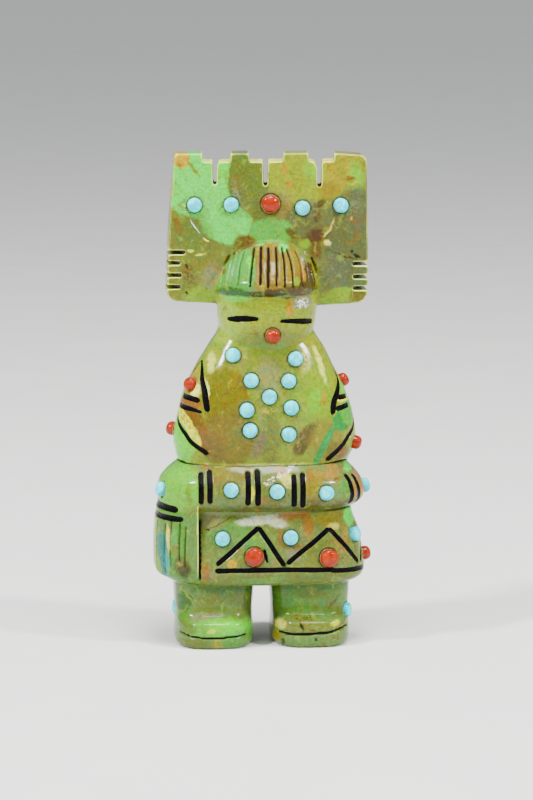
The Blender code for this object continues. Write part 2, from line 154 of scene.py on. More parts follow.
def prism(name: str, outline: list[Way], ahead: Way) -> Thing:
    """Draws a flat outline out into a closed prism.

    Args:
        name: the prism's name.
        outline: the places of its near face's corners.
        ahead: the way from there to its far face.

    Returns:
        The prism, with its faces outwards.
    """
    clear_selection()
    bpy.ops.mesh.primitive_circle_add(vertices=len(outline), radius=1.0, fill_type="NGON")
    thing = bpy.context.active_object
    thing.name = name
    set_points(thing.data, np.array(outline))
    bpy.ops.object.mode_set(mode="EDIT")
    bpy.ops.mesh.select_all(action="SELECT")
    bpy.ops.mesh.extrude_region_move(TRANSFORM_OT_translate={"value": ahead})
    bpy.ops.mesh.select_all(action="SELECT")
    bpy.ops.mesh.normals_make_consistent(inside=False)
    bpy.ops.object.mode_set(mode="OBJECT")
    return thing


def points_of(mesh: bpy.types.Mesh) -> np.ndarray:
    """The places of a mesh's points.

    Args:
        mesh: the mesh.

    Returns:
        The places, one row each.
    """
    flat = np.empty(len(mesh.vertices) * 3)
    mesh.vertices.foreach_get("co", flat)
    return flat.reshape(-1, 3)


def set_points(mesh: bpy.types.Mesh, places: np.ndarray) -> None:
    """Moves a mesh's points to these places."""
    mesh.vertices.foreach_set("co", places.ravel())
    mesh.update()


def facings_of(mesh: bpy.types.Mesh) -> np.ndarray:
    """The way that the surface faces at each point of a mesh.

    Args:
        mesh: the mesh.

    Returns:
        The ways, one row each.
    """
    flat = np.empty(len(mesh.vertices) * 3)
    mesh.vertex_normals.foreach_get("vector", flat)
    return flat.reshape(-1, 3)


def rise(value: np.ndarray, low: float, high: float) -> np.ndarray:
    """A smooth step from 0 at low to 1 at high."""
    share = np.clip((value - low) / (high - low), 0.0, 1.0)
    return share * share * (3 - 2 * share)


def squared(value: np.ndarray, power: float) -> np.ndarray:
    """A cosine or sine with its sign, for a rounded outline of this power."""
    return np.sign(value) * np.abs(value) ** (2 / power)


def eased(heights: tuple[float, ...], values: tuple[float, ...], at: np.ndarray) -> np.ndarray:
    """A smooth curve through values that never swings past them.

    Args:
        heights: where the values lie, rising.
        values: the value at each height.
        at: the heights that are asked for.

    Returns:
        The curve's value at each of them.
    """
    x, y = np.array(heights), np.array(values)
    step, slope = np.diff(x), np.diff(y) / np.diff(x)
    lean = np.zeros(len(x))
    lean[0], lean[-1] = slope[0], slope[-1]
    for i in range(1, len(x) - 1):
        if slope[i - 1] * slope[i] > 0:
            near, far = 2 * step[i] + step[i - 1], step[i] + 2 * step[i - 1]
            lean[i] = (near + far) / (near / slope[i - 1] + far / slope[i])
    i = np.clip(np.searchsorted(x, at, side="right") - 1, 0, len(x) - 2)
    t = np.clip((at - x[i]) / step[i], 0.0, 1.0)
    start = (1 + 2 * t) * (1 - t) ** 2 * y[i] + t * (1 - t) ** 2 * step[i] * lean[i]
    end = t * t * (3 - 2 * t) * y[i + 1] + t * t * (t - 1) * step[i] * lean[i + 1]
    return start + end


@dataclass(frozen=True)
class Form:
    """A rounded form through level rings. A power of 2 is an ellipse, a higher one is squarer.

    A ring is its height, its middle, its half width, and its reach to the front and the back.
    """

    name: str
    power: float
    rings: tuple[Ring, ...]
    middle: Place = (0.0, 0.0)
    sides: int = 144
    level: float = 0.3

    def model(self) -> Thing:
        """Turns a plain cylinder with level cuts into the form.

        Returns:
            The closed form.
        """
        low, high = self.rings[0][0], self.rings[-1][0]
        clear_selection()
        bpy.ops.mesh.primitive_cylinder_add(
            vertices=self.sides, radius=1.0, depth=high - low, location=(0, 0, (low + high) / 2))
        form = bpy.context.active_object
        form.name = self.name
        bpy.ops.object.transform_apply(location=True, rotation=False, scale=False)
        bpy.ops.object.mode_set(mode="EDIT")
        bpy.ops.mesh.select_mode(type="EDGE")
        bpy.ops.mesh.select_all(action="DESELECT")
        shape = bmesh.from_edit_mesh(form.data)
        for edge in shape.edges:
            edge.select = abs(edge.verts[0].co.z - edge.verts[1].co.z) > self.level
        bmesh.update_edit_mesh(form.data)
        bpy.ops.mesh.subdivide(number_cuts=max(round((high - low) / self.level), 2))
        bpy.ops.object.mode_set(mode="OBJECT")
        set_points(form.data, self.shaped(points_of(form.data)))
        return form

    def shaped(self, places: np.ndarray) -> np.ndarray:
        """Moves the points of a straight cylinder onto the form.

        Args:
            places: the cylinder's points.

        Returns:
            The form's points.
        """
        z = places[:, 2]
        turn = np.arctan2(places[:, 1], places[:, 0])
        across, along = squared(np.cos(turn), self.power), squared(np.sin(turn), self.power)
        heights, *reaches = zip(*self.rings)
        centre, half_width, front, back = (eased(heights, reach, z) for reach in reaches)
        x = self.middle[0] + centre + half_width * across
        y = self.middle[1] + np.where(along > 0, back, front) * along
        return np.column_stack((x, y, z))


@dataclass(frozen=True)
class Headdress:
    """The flat slab behind the head, with its stepped top, saw slots and side notches.

    A corner is its place across and up, and its radius. A step is its left and right wall. A
    slot is its middle, its floor, and the wear of its two upper corners. A notch is its height
    and how far in it bites.
    """

    front: float = -1.0
    thickness: float = 6.6
    corners: tuple[Way, ...] = (
        (-16.15, 56.0, 1.8), (-7.90, 55.5, 0.0), (9.00, 55.1, 0.0), (16.80, 55.5, 2.2),
        (16.45, 79.5, 1.2), (10.90, 79.9, 0.0), (-14.68, 79.9, 0.4), (-15.70, 67.0, 0.0))
    corner_steps: int = 8
    edge_round: float = 0.35
    step_floor: float = 78.55
    steps: tuple[Place, ...] = (
        (-10.27, -5.75), (-2.72, 2.85), (6.9, 11.05))
    slots: tuple[tuple[float, float, float, float], ...] = (
        (-8.25, 74.85, 0.15, 0.65), (-0.05, 74.6, 0.1, 0.3), (8.7, 74.4, 1.0, 0.45))
    slot_width: float = 0.64
    saw_lean: float = 0.07
    slot_flare: float = 0.08
    notch_width: float = 0.62
    notch_disc: float = 11.0
    left_edge: float = -16.0
    left_notches: tuple[Place, ...] = (
        (63.9, 3.0), (62.2, 2.2), (60.2, 2.4), (58.3, 2.2))
    right_edge: float = 16.7
    right_notches: tuple[Place, ...] = ((61.9, 2.6), (59.75, 2.5), (57.9, 2.5))
    above: float = 90.0

    def model(self) -> Thing:
        """Extrudes the slab, rounds its edges and saws the steps, slots and notches.

        Returns:
            The slab.
        """
        slab = prism("headdress", [(x, self.front, z) for x, z in self.outline()],
                     (0, self.thickness, 0))
        bpy.ops.object.mode_set(mode="EDIT")
        bpy.ops.mesh.select_all(action="DESELECT")
        shape = bmesh.from_edit_mesh(slab.data)
        for edge in shape.edges:
            edge.select = abs(edge.verts[0].co.y - edge.verts[1].co.y) < self.edge_round
        bmesh.update_edit_mesh(slab.data)
        bpy.ops.mesh.bevel(offset=self.edge_round, segments=3)
        bpy.ops.object.mode_set(mode="OBJECT")
        for left, right in self.steps:
            cut_with(slab, self.saw_cut(
                [(left, self.step_floor), (right, self.step_floor), (right, self.above),
                 (left, self.above)]))
        for slot in self.slots:
            cut_with(slab, self.saw_cut(self.slot_outline(*slot)))
        for edge, notches in (
                (self.left_edge, self.left_notches), (self.right_edge, self.right_notches)):
            for z, reach in notches:
                cut_with(slab, self.disc(edge, z, reach))
        return slab

    def outline(self) -> list[Place]:
        """Turns the slab's rounded corners into arcs.

        Returns:
            The slab's outline, as places across and up.
        """
        points = []
        for i, (x, z, radius) in enumerate(self.corners):
            corner = Vector((x, z))
            back = (Vector(self.corners[i - 1][:2]) - corner).normalized()
            ahead = (Vector(self.corners[(i + 1) % len(self.corners)][:2]) - corner).normalized()
            if radius == 0:
                points.append(tuple(corner))
                continue
            half = back.angle(ahead) / 2
            middle = corner + (back + ahead).normalized() * radius / math.sin(half)
            first = (corner + back * radius / math.tan(half) - middle).normalized()
            last = (corner + ahead * radius / math.tan(half) - middle).normalized()
            for step in range(self.corner_steps + 1):
                share = step / self.corner_steps
                spoke = first.lerp(last, share).normalized() * radius
                points.append(tuple(middle + spoke))
        return points

    def slot_outline(self, x: float, floor: float, left: float, right: float) -> list[Place]:
        """One slot's outline: a round foot, walls that lean a little, and worn upper corners.

        Args:
            x: the slot's middle.
            floor: the height of its floor.
            left: how far its upper left corner is worn.
            right: how far its upper right corner is worn.

        Returns:
            The outline, from the left wall round the foot to the right wall.
        """
        half, mouth = self.slot_width / 2, self.slot_width / 2 + self.slot_flare
        foot = [(x + half * math.cos(turn), floor + half + half * math.sin(turn))
                for turn in (math.pi * (1 + step / 8) for step in range(9))]
        top = self.step_floor
        return foot + [
            (x + mouth, top - right * 0.9), (x + mouth + right * 0.35, top - right * 0.25),
            (x + mouth + right, top + 0.05), (x + mouth + right, self.above),
            (x - mouth - left, self.above), (x - mouth - left, top + 0.05),
            (x - mouth - left * 0.35, top - left * 0.25), (x - mouth, top - left * 0.9)]

    def saw_cut(self, outline: list[Place]) -> Thing:
        """A cutter with this outline, right through the slab.

        Args:
            outline: the cutter's outline, as places across and up.

        Returns:
            The cutter.
        """
        start, drift = self.front - self.thickness, self.saw_lean * self.thickness
        return prism("saw_cut", [(x - drift, start, z) for x, z in outline],
                     (3 * drift, 3 * self.thickness, 0))

    def worn(self, places: np.ndarray, facings: np.ndarray) -> tuple[np.ndarray, np.ndarray]:
        """Finds the chalky step floors, and the feet of the slots, where painted shade goes.

        Args:
            places: the skin's points.
            facings: the way that the skin faces at each of them.

        Returns:
            The share of chalk and the share of painted shade at each point.
        """
        x, y, z = places.T
        behind = y > self.front + 0.2
        chalk = behind & (facings[:, 2] > 0.5) & (np.abs(z - self.step_floor) < 0.4)
        painted_slot_shade = np.zeros(len(places))
        for middle, floor, _, _ in self.slots:
            off = np.abs(x - middle - self.saw_lean * (y - self.front))
            inside = behind & (off < self.slot_width) & (z > floor - 0.4)
            painted_slot_shade = np.maximum(painted_slot_shade, inside * (1 - rise(z, floor + 0.9, floor + 3.4)))
        return chalk.astype(float), painted_slot_shade

    def disc(self, edge: float, z: float, reach: float) -> Thing:
        """The saw disc of one side notch, level with the slab's front face.

        Args:
            edge: the side edge that it bites.
            z: the notch's height.
            reach: how far in it bites.

        Returns:
            The cutter.
        """
        clear_selection()
        x = edge + math.copysign(self.notch_disc - reach, edge)
        bpy.ops.mesh.primitive_cylinder_add(
            vertices=96, radius=self.notch_disc, depth=self.notch_width,
            location=(x, self.front, z))
        cutter = bpy.context.active_object
        bpy.ops.object.transform_apply(location=True, rotation=False, scale=False)
        return cutter


@dataclass(frozen=True)
class Look:
    """A straight look at the figure, which finds a place on its surface."""

    start: Vector
    direction: Vector


BESIDE = 40.0


def front(*places: Place) -> tuple[Look, ...]:
    """Looks straight at the front, at places across and up."""
    return tuple(Look(Vector((x, -BESIDE, z)), Vector((0.0, 1.0, 0.0))) for x, z in places)


def around(*places: Place) -> tuple[Look, ...]:
    """Level looks at the body's axis.

    Args:
        *places: how many degrees each look turns off the front, towards +X, and its height.

    Returns:
        The looks.
    """
    looks = []
    for turn, z in places:
        outward = Vector((math.sin(math.radians(turn)), -math.cos(math.radians(turn)), 0.0))
        looks.append(Look(outward * BESIDE + Vector((0.0, 0.0, z)), -outward))
    return tuple(looks)


@dataclass(frozen=True)
class Stroke:
    """An engraved line: its looks, width along the way and depth in millimetres, and how dark it is
    painted, for grime and painted shade.
    """

    looks: tuple[Look, ...]
    widths: tuple[float, ...] = (0.7,)
    depth: float = 0.4
    dirt_and_shade: float = 0.0


PLAIN = (0.84,)
FINE = (0.78,)
THIN = (0.74,)
SWELLING = (0.3, 0.65, 0.95, 1.1, 0.95)


@dataclass(frozen=True)
class Engraving:
    """Every line that the carver cut, in groups that share one fill.

    A line of the sash's fringe is its turn off the front, its top and foot, and its width. A
    strand of the hair is its places across and up.
    """

    eyes: tuple[Stroke, ...] = (
        Stroke(front((-6.5, 53.5), (-4.0, 53.7), (-1.65, 53.75)), (0.5, 0.92, 0.92, 0.5)),
        Stroke(front((1.95, 53.35), (4.5, 53.25), (7.3, 52.95)), (0.4, 0.75, 0.85, 0.7)))
    arms: tuple[Stroke, ...] = (
        Stroke(around((-77.5, 46.6), (-69.7, 45.4), (-64, 43.7), (-58.9, 42.0), (-56.6, 40.6),
                      (-54.1, 38.8)), SWELLING),
        Stroke(around((-78, 46.5), (-82, 45.4), (-85, 44.3)), (0.3, 0.55)),
        Stroke(around((-83.5, 40.8), (-70, 40.6), (-61.7, 40.4)), PLAIN),
        Stroke(around((-85, 39.15), (-70, 39.0), (-58.5, 38.6)), (0.8, 0.8, 0.4)),
        Stroke(around((-86, 38.0), (-81, 36.8), (-74.8, 35.8), (-69, 34.8), (-64.2, 33.6),
                      (-55, 31.8)), (0.6, 0.75, 0.8)),
        Stroke(around((78.3, 44.8), (74.7, 43.6), (69.5, 42.5), (63.6, 41.2), (59.4, 39.8),
                      (57.3, 38.1)), SWELLING),
        Stroke(around((63.9, 40.6), (77.5, 40.6)), FINE),
        Stroke(around((60.6, 38.9), (75.5, 39.25)), FINE),
        Stroke(around((84, 37.6), (82, 36.7), (76, 35.5), (70.2, 34.4), (66.1, 33.2),
                      (61.6, 31.9), (56.4, 30.5)), (0.6, 0.8, 0.85)))
    belt: tuple[Stroke, ...] = tuple(
        Stroke(front((x, top), (x, (top + low) / 2), (x, low)), PLAIN)
        for x, top, low in (
            (-11.0, 29.0, 24.0), (-9.6, 29.4, 24.1), (-3.5, 29.2, 23.9),
            (-1.9, 29.5, 23.8), (3.95, 28.7, 23.5), (5.4, 28.9, 23.3))) + (
        Stroke(around((63.3, 28.2), (62.7, 25.5), (63.4, 23.5)), (0.95,)),
        Stroke(around((70.5, 28.0), (69.5, 25.3), (71.5, 23.4)), (1.0,)))
    sash: tuple[Stroke, ...] = (
        Stroke(around((-112, 23.3), (-89, 23.2), (-75, 22.95), (-64, 22.75)),
               (1.1, 1.15, 1.1, 1.0)),
        Stroke(around((-112, 21.7), (-86, 21.55), (-70, 21.3), (-61, 21.3)),
               (1.0, 1.0, 0.95, 0.8)))
    skirt: tuple[Stroke, ...] = (
        Stroke(front((-8.5, 14.0), (-1.7, 20.0)), THIN),
        Stroke(front((-1.7, 20.0), (2.5, 13.8)), THIN),
        Stroke(front((2.9, 14.2), (9.8, 19.5)), THIN),
        Stroke(around((51.8, 19.5), (60.5, 16.6), (69.3, 13.6)), THIN),
        Stroke(around((72.5, 13.7), (80, 16.4), (88, 18.8)), (0.5, 0.6)),
        Stroke(around((88, 18.8), (96, 16.4), (104, 13.7)), (0.6,)),
        Stroke(front((-8.7, 13.05), (-2.9, 13.15), (2.7, 13.15), (10.1, 12.9))
               + around((62, 12.6), (73.4, 12.45), (88, 12.4), (105, 12.4)), THIN),
        Stroke(front((-0.8, 16.4), (-0.3, 14.35)), (0.4, 0.45, 0.25)))
    fringe: tuple[tuple[float, float, float, float], ...] = (
        (-106, 20.4, 12.4, 0.4), (-98, 20.2, 12.2, 0.45), (-88, 20.6, 12.0, 0.4),
        (-79, 20.5, 12.0, 0.42), (-71.5, 20.3, 12.0, 0.5), (-67.5, 20.9, 13.2, 0.42),
        (-62.2, 20.6, 14.2, 0.36), (-59.0, 20.2, 13.6, 0.3))
    fringe_depth: float = 0.34
    # How dark the fringe lines are painted: grime and painted shade.
    fringe_dirt_and_shade: float = 0.5
    sash_edge: Stroke = Stroke(
        front((-11.15, 21.2), (-11.2, 16.0), (-11.2, 11.4)), (0.3, 0.44, 0.42), 0.55, 0.85)
    waist: Stroke = Stroke(
        around(*((turn, 30.05) for turn in range(-180, 181, 20))), (0.3,), 0.32, 0.85)
    belt_foot: Stroke = Stroke(
        around(*((turn, 22.45) for turn in range(-52, 181, 12))), (0.34,), 0.25, 0.6)
    soles: tuple[Stroke, ...] = (
        Stroke(front((-14.4, 2.55), (-13.0, 2.2), (-9.9, 1.85), (-7.0, 2.0), (-3.5, 2.25)),
               (0.24, 0.32, 0.36, 0.3), 0.4, 0.9),
        Stroke(front((1.6, 2.4), (4.0, 2.25), (6.5, 2.35), (9.2, 2.5), (11.6, 2.95), (13.0, 3.3)),
               (0.34, 0.5, 0.46, 0.34), 0.45, 0.95))
    strands: tuple[tuple[Place, ...], ...] = (
        ((-5.9, 63.4), (-7.0, 61.3), (-7.5, 58.7)),
        ((-5.05, 63.9), (-6.0, 61.6), (-6.65, 59.1)),
        ((-4.4, 64.0), (-5.3, 61.6), (-6.0, 59.1)),
        ((-3.6, 64.1), (-4.45, 62.0), (-5.0, 59.0)),
        ((-1.95, 64.9), (-2.4, 63.2), (-2.8, 61.0), (-3.1, 58.9)),
        ((-0.85, 65.1), (-1.1, 63.2), (-1.25, 61.0), (-1.4, 59.3)),
        ((0.3, 65.0), (0.15, 63.2), (-0.05, 61.0), (-0.15, 58.8)),
        ((1.5, 65.0), (1.5, 63.2), (1.4, 61.4), (1.25, 59.1)),
        ((2.55, 65.0), (2.7, 63.2), (2.7, 61.0), (2.7, 58.8)),
        ((3.3, 64.7), (3.8, 62.8), (4.0, 61.0), (4.1, 58.7)),
        ((4.7, 64.3), (5.3, 62.6), (5.55, 60.8), (5.75, 58.7)),
        ((6.1, 62.8), (6.5, 61.7), (6.6, 60.0), (6.6, 58.7)),
        ((6.8, 61.9), (7.3, 60.1), (7.45, 58.5)),
        ((7.45, 63.0), (8.0, 61.5), (8.3, 59.3), (8.35, 57.4)))
    strand_widths: tuple[float, ...] = (
        0.3, 0.24, 0.26, 0.34, 0.44, 0.5, 0.54, 0.38, 0.42, 0.42, 0.38, 0.32, 0.26, 0.34)
    # How dark each strand's line is painted: grime and painted shade.
    strand_dirt_and_shade: tuple[float, ...] = (
        0.45, 0.4, 0.45, 0.6, 0.9, 0.95, 0.95, 0.9, 0.9, 0.95, 0.9, 0.85, 0.7, 0.6)
    strand_depth: float = 0.62

    def inked(self) -> dict[str, tuple[Stroke, ...]]:
        """The strokes that hold black fill, by the name of the piece that fills them."""
        return {"eye_ink": self.eyes, "arm_line_ink": self.arms, "belt_bar_ink": self.belt,
                "sash_band_ink": self.sash, "skirt_line_ink": self.skirt}

    def bare(self) -> tuple[Stroke, ...]:
        """The strokes with no fill, from the sash's fringe to the strands of the hair.

        Returns:
            The strokes.
        """
        fringe = tuple(
            Stroke(around((turn, top), (turn, foot)), (width, width, width * 0.7),
                   self.fringe_depth, self.fringe_dirt_and_shade)
            for turn, top, foot, width in self.fringe)
        strands = tuple(
            Stroke(front(*way), (width * 0.9, width, width, width * 0.8),
                   self.strand_depth * min(1.0, width / 0.36), dirt_and_shade)
            for way, width, dirt_and_shade in zip(self.strands, self.strand_widths, self.strand_dirt_and_shade))
        return fringe + (self.sash_edge, self.waist, self.belt_foot) + self.soles + strands


@dataclass
class Path:
    """A stroke laid on the surface: places, facings and half widths along it."""

    places: np.ndarray
    facings: np.ndarray
    ahead: np.ndarray
    halves: np.ndarray
    depth: float
    # How dark the line is painted: grime and painted shade.
    dirt_and_shade: float


@dataclass
class Surface:
    """The carved surface before any line is cut, on which looks find their places."""

    tree: BVHTree
    step: float = 0.2
    wobble: float = 0.035
    wobble_scale: float = 0.35

    def at(self, look: Look) -> tuple[Vector, Vector]:
        """The place that a look finds, and the way that the surface faces there."""
        place, facing, _, _ = self.tree.ray_cast(look.start, look.direction)
        return place, facing

    def lay(self, stroke: Stroke) -> Path:
        """Lays a stroke on the surface, with the small waver of a hand.

        Args:
            stroke: the stroke to lay.

        Returns:
            Its path.
        """
        rough = [self.at(look)[0] for look in stroke.looks]
        looks = []
        for i in range(len(rough) - 1):
            count = max(math.ceil((rough[i + 1] - rough[i]).length / self.step), 1)
            looks += [self.between(stroke.looks, i, j / count) for j in range(count)]
        looks.append(stroke.looks[-1])
        found = [self.at(look) for look in looks]
        places = np.array([place for place, _ in found])
        facings = np.array([facing for _, facing in found])
        facings = self.calmed(facings)
        facings /= np.linalg.norm(facings, axis=1)[:, None]
        ahead = np.gradient(self.calmed(places), axis=0)
        ahead /= np.linalg.norm(ahead, axis=1)[:, None]
        run = np.concatenate(([0.0], np.cumsum(np.linalg.norm(np.diff(places, axis=0), axis=1))))
        across = np.cross(facings, ahead)
        for i, place in enumerate(places):
            shift = noise.noise(Vector(place) * self.wobble_scale)
            places[i] = place + across[i] * shift * self.wobble * 2
        widths = np.interp(run / run[-1], np.linspace(0, 1, len(stroke.widths)), stroke.widths)
        halves = widths / 2
        from_end = np.minimum(run, run[-1] - run)
        cap = np.clip(from_end / np.maximum(halves, 0.05), 0.0, 1.0)
        halves = halves * np.sqrt(np.clip(1 - (1 - cap) ** 2, 0.02, 1.0))
        return Path(places, facings, ahead, halves, stroke.depth, stroke.dirt_and_shade)

    @staticmethod
    def between(looks: tuple[Look, ...], i: int, share: float) -> Look:
        """Finds a look between two others, on a smooth curve.

        Args:
            looks: a stroke's looks.
            i: the number of the look before it.
            share: how far it is from there to the next one, up to 1.

        Returns:
            The look.
        """
        run = [looks[max(i - 1, 0)], looks[i], looks[i + 1], looks[min(i + 2, len(looks) - 1)]]
        t = share
        weights = ((-t + 2 * t * t - t ** 3) / 2, (2 - 5 * t * t + 3 * t ** 3) / 2,
                   (t + 4 * t * t - 3 * t ** 3) / 2, (t ** 3 - t * t) / 2)
        start, direction = Vector(), Vector()
        for weight, look in zip(weights, run):
            start += look.start * weight
            direction += look.direction * weight
        return Look(start, direction.normalized())

    @staticmethod
    def calmed(values: np.ndarray, rounds: int = 3) -> np.ndarray:
        """Evens out rows of values along their run, with both ends kept.

        Args:
            values: the rows, which stay as they are.
            rounds: how many times each row takes from its neighbours.

        Returns:
            The calmer rows.
        """
        values = values.copy()
        for _ in range(rounds):
            values[1:-1] = (values[:-2] + 2 * values[1:-1] + values[2:]) / 4
        return values


@dataclass(frozen=True)
class Setting:
    """A cabochon's setting, read from its solid: its place on the stone, axis, radius and rise."""

    name: str
    place: np.ndarray
    axis: np.ndarray
    radius: float
    rise: float
    is_coral: bool


@dataclass
class StoneFigure:
    """The carving itself: all its forms in one piece, with its engraved lines and seats."""

    engraving: Engraving
    settings: list[Setting]
    headdress: Headdress = field(default_factory=Headdress)
    torso: Form = Form("torso", 2.6, (
        (28.5, -0.4, 13.6, 7.4, 6.2), (29.9, -0.45, 13.9, 7.6, 6.3),
        (31.5, -0.3, 14.5, 8, 6.6), (33.6, -0.18, 14.9, 8.4, 6.8),
        (37.4, -0.07, 14.35, 8.6, 6.9), (41.3, -0.15, 13.2, 8.4, 6.7),
        (45.2, -0.2, 11.3, 7.6, 6.2), (48.5, 0, 9.5, 6.5, 5.8),
        (51.5, 0, 7.75, 5.5, 5.2), (55, 0.2, 7.3, 5, 4.9),
        (58, 0.3, 7, 4.5, 4.4)))
    head: Form = Form("head", 2.3, (
        (47.4, 0.25, 3, 5, 2), (48.2, 0.25, 5, 6.2, 2.4),
        (49.3, 0.25, 6.6, 6.9, 2.8), (51, 0.15, 7.55, 7.3, 3.2),
        (53, 0.15, 7.95, 7.5, 3.4), (55, 0.25, 8.15, 7.5, 3.4),
        (57, 0.35, 8.25, 7.3, 3.4), (58.8, 0.45, 7.9, 6.8, 3.2)))
    hair: Form = Form("hair", 2.0, (
        (57, 0.1, 8.3, 7.4, 2), (57.5, 0.1, 8.6, 7.9, 2),
        (58.3, 0.1, 8.7, 8.5, 2), (59.2, 0.15, 8.5, 8.5, 2),
        (60.6, 0.3, 7.95, 7.7, 2), (62, 0.5, 7.25, 6.5, 1.9),
        (63.3, 0.7, 6.2, 5.1, 1.8), (64.3, 0.85, 5, 3.7, 1.6),
        (65.1, 0.9, 3.6, 2.6, 1.4), (65.7, 0.9, 1.6, 1.6, 1.2)))
    belt: Form = Form("belt", 2.6, (
        (22.1, -1.2, 14.4, 8, 5.9), (22.5, -1.2, 15.3, 8.9, 6.6),
        (23.1, -1.05, 16.1, 9.7, 7.2), (24, -0.85, 16.8, 10.35, 7.7),
        (25.2, -0.75, 17, 10.6, 7.9), (26.9, -0.85, 16.5, 10.4, 7.7),
        (28.2, -0.9, 15.5, 9.8, 7.2), (29.3, -0.8, 14.4, 9, 6.6),
        (30.1, -0.6, 13.6, 8.2, 6)))
    skirt: Form = Form("skirt", 2.8, (
        (10.3, -0.45, 14.7, 8.2, 5.9), (10.7, -0.45, 15.7, 9, 6.5),
        (11.4, -0.45, 16.4, 9.55, 6.9), (12.6, -0.45, 16.7, 9.8, 7.1),
        (14.9, -0.4, 16.25, 9.6, 7), (18.3, -0.4, 15.7, 9.1, 6.8),
        (20.9, -0.4, 14.75, 8.6, 6.5), (23.2, -0.4, 14.1, 8.3, 6.3)))
    sash: Form = Form("sash", 2.6, (
        (10.9, -0.9, 15.4, 8.4, 5.9), (11.3, -0.9, 16.5, 9.3, 6.3),
        (12, -0.9, 17.15, 9.9, 6.6), (13.6, -0.9, 17.45, 10.2, 6.8),
        (16.6, -0.9, 17.5, 10.2, 6.8), (21.6, -0.9, 17.15, 10.1, 6.8),
        (23.6, -0.85, 16.85, 10.4, 6.8), (26, -0.85, 16.6, 10.1, 6.6)))
    sash_inner_edge: float = -11.4
    sash_back_edge: float = 3.0
    leg_rings: tuple[Ring, ...] = (
        (0, 0, 5.85, 8.5, 5.3), (0.45, 0, 6.3, 9.05, 5.7), (1.4, 0, 6.45, 9.3, 5.9),
        (3.5, 0, 6.4, 9.3, 5.8), (4.1, 0, 6.35, 9.15, 5.7), (4.55, 0, 6.35, 8.6, 5.6),
        (4.85, 0, 6.35, 7.7, 5.6), (5.5, 0, 6.35, 7.1, 5.5), (6.8, 0, 6.4, 6.85, 5.5),
        (9, 0, 6.55, 6.9, 5.4), (13, 0, 6.65, 6.8, 5.4))
    leg_middles: tuple[Place, ...] = ((-8.6, 0.0), (7.15, 0.3))
    leg_power: float = 3.0
    grain: float = 0.16
    polish_rounds: int = 7
    most_faces: int = 190_000
    fringe_span: Place = (56.9, 59.5)
    fringe_front: float = -1.9
    seat_depth: float = 0.55
    seat_gap: float = 0.03
    uneven: float = 0.045
    uneven_scale: float = 0.3
    # How much of the painted edge highlight the shaded lower edge of the hair keeps.
    fringe_edge_highlight: float = 0.1
    groove_wall: Place = (0.72, 1.12)
    guard_depth: float = 0.004
    guard_bulge: float = 0.45
    guard_rings: int = 2
    thinning_evenness: float = 0.0001

    def blank(self) -> Thing:
        """Models every form, fuses them into one skin and polishes its creases.

        Returns:
            The figure before any line is cut.
        """
        sash = self.sash.model()
        self.slice_off(sash, (self.sash_inner_edge, 0, 0), (1, 0, 0))
        self.slice_off(sash, (0, self.sash_back_edge, 0), (0, 1, 0))
        forms = [self.headdress.model(), sash]
        forms += [form.model() for form in (
            self.torso, self.head, self.hair, self.belt, self.skirt)]
        forms += [Form("leg", self.leg_power, self.leg_rings, middle).model()
                  for middle in self.leg_middles]
        figure = join(forms, "carved_stone")
        work(figure, "REMESH", mode="VOXEL", voxel_size=self.grain, adaptivity=0.0)
        work(figure, "SMOOTH", factor=0.5, iterations=self.polish_rounds)
        places, facings = points_of(figure.data), facings_of(figure.data)
        scaled = places * self.uneven_scale
        waves = np.array([noise.noise(Vector(place)) for place in scaled])
        high = places[:, 2:] > self.grain
        set_points(figure.data, places + facings * waves[:, None] * self.uneven * high)
        LOG.info("blank: %d faces", len(figure.data.polygons))
        return figure

    @staticmethod
    def slice_off(thing: Thing, at: Way, side: Way) -> None:
        """Takes away what lies on one side of a plane, and closes the cut.

        Args:
            thing: the shape to slice.
            at: a point of the plane.
            side: the way to the side that goes.
        """
        take(thing)
        bpy.ops.object.mode_set(mode="EDIT")
        bpy.ops.mesh.select_all(action="SELECT")
        bpy.ops.mesh.bisect(plane_co=at, plane_no=side, use_fill=True, clear_outer=True)
        bpy.ops.object.mode_set(mode="OBJECT")

    def engrave(self, figure: Thing, paths: list[Path]) -> tuple[np.ndarray, np.ndarray]:
        """Cuts paths into the skin.

        Args:
            figure: the figure, which is changed.
            paths: the strokes' paths.

        Returns:
            How deep each point now lies under the skin that it had, and how dark it is painted, for
            grime and painted shade.
        """
        places, facings = points_of(figure.data), facings_of(figure.data)
        depth, dirt_and_shade = np.zeros(len(places)), np.zeros(len(places))
        for path in paths:
            self.sink_path(places, path, depth, dirt_and_shade)
        set_points(figure.data, places - facings * depth[:, None])
        return depth, dirt_and_shade

    def seat(self, figure: Thing) -> None:
        """Sinks a round flat seat for each cabochon.

        Args:
            figure: the figure, which is changed.
        """
        places = points_of(figure.data)
        for setting in self.settings:
            offset = places - setting.place
            up = offset @ setting.axis
            out = np.linalg.norm(offset - up[:, None] * setting.axis, axis=1)
            rim = setting.radius + self.seat_gap
            near = (out < rim + self.grain) & (np.abs(up) < setting.radius)
            share = 1 - rise(out[near], rim, rim + self.grain)
            drop = np.maximum(up[near] + self.seat_depth, 0.0) * share
            places[near] -= setting.axis * drop[:, None]
        set_points(figure.data, places)

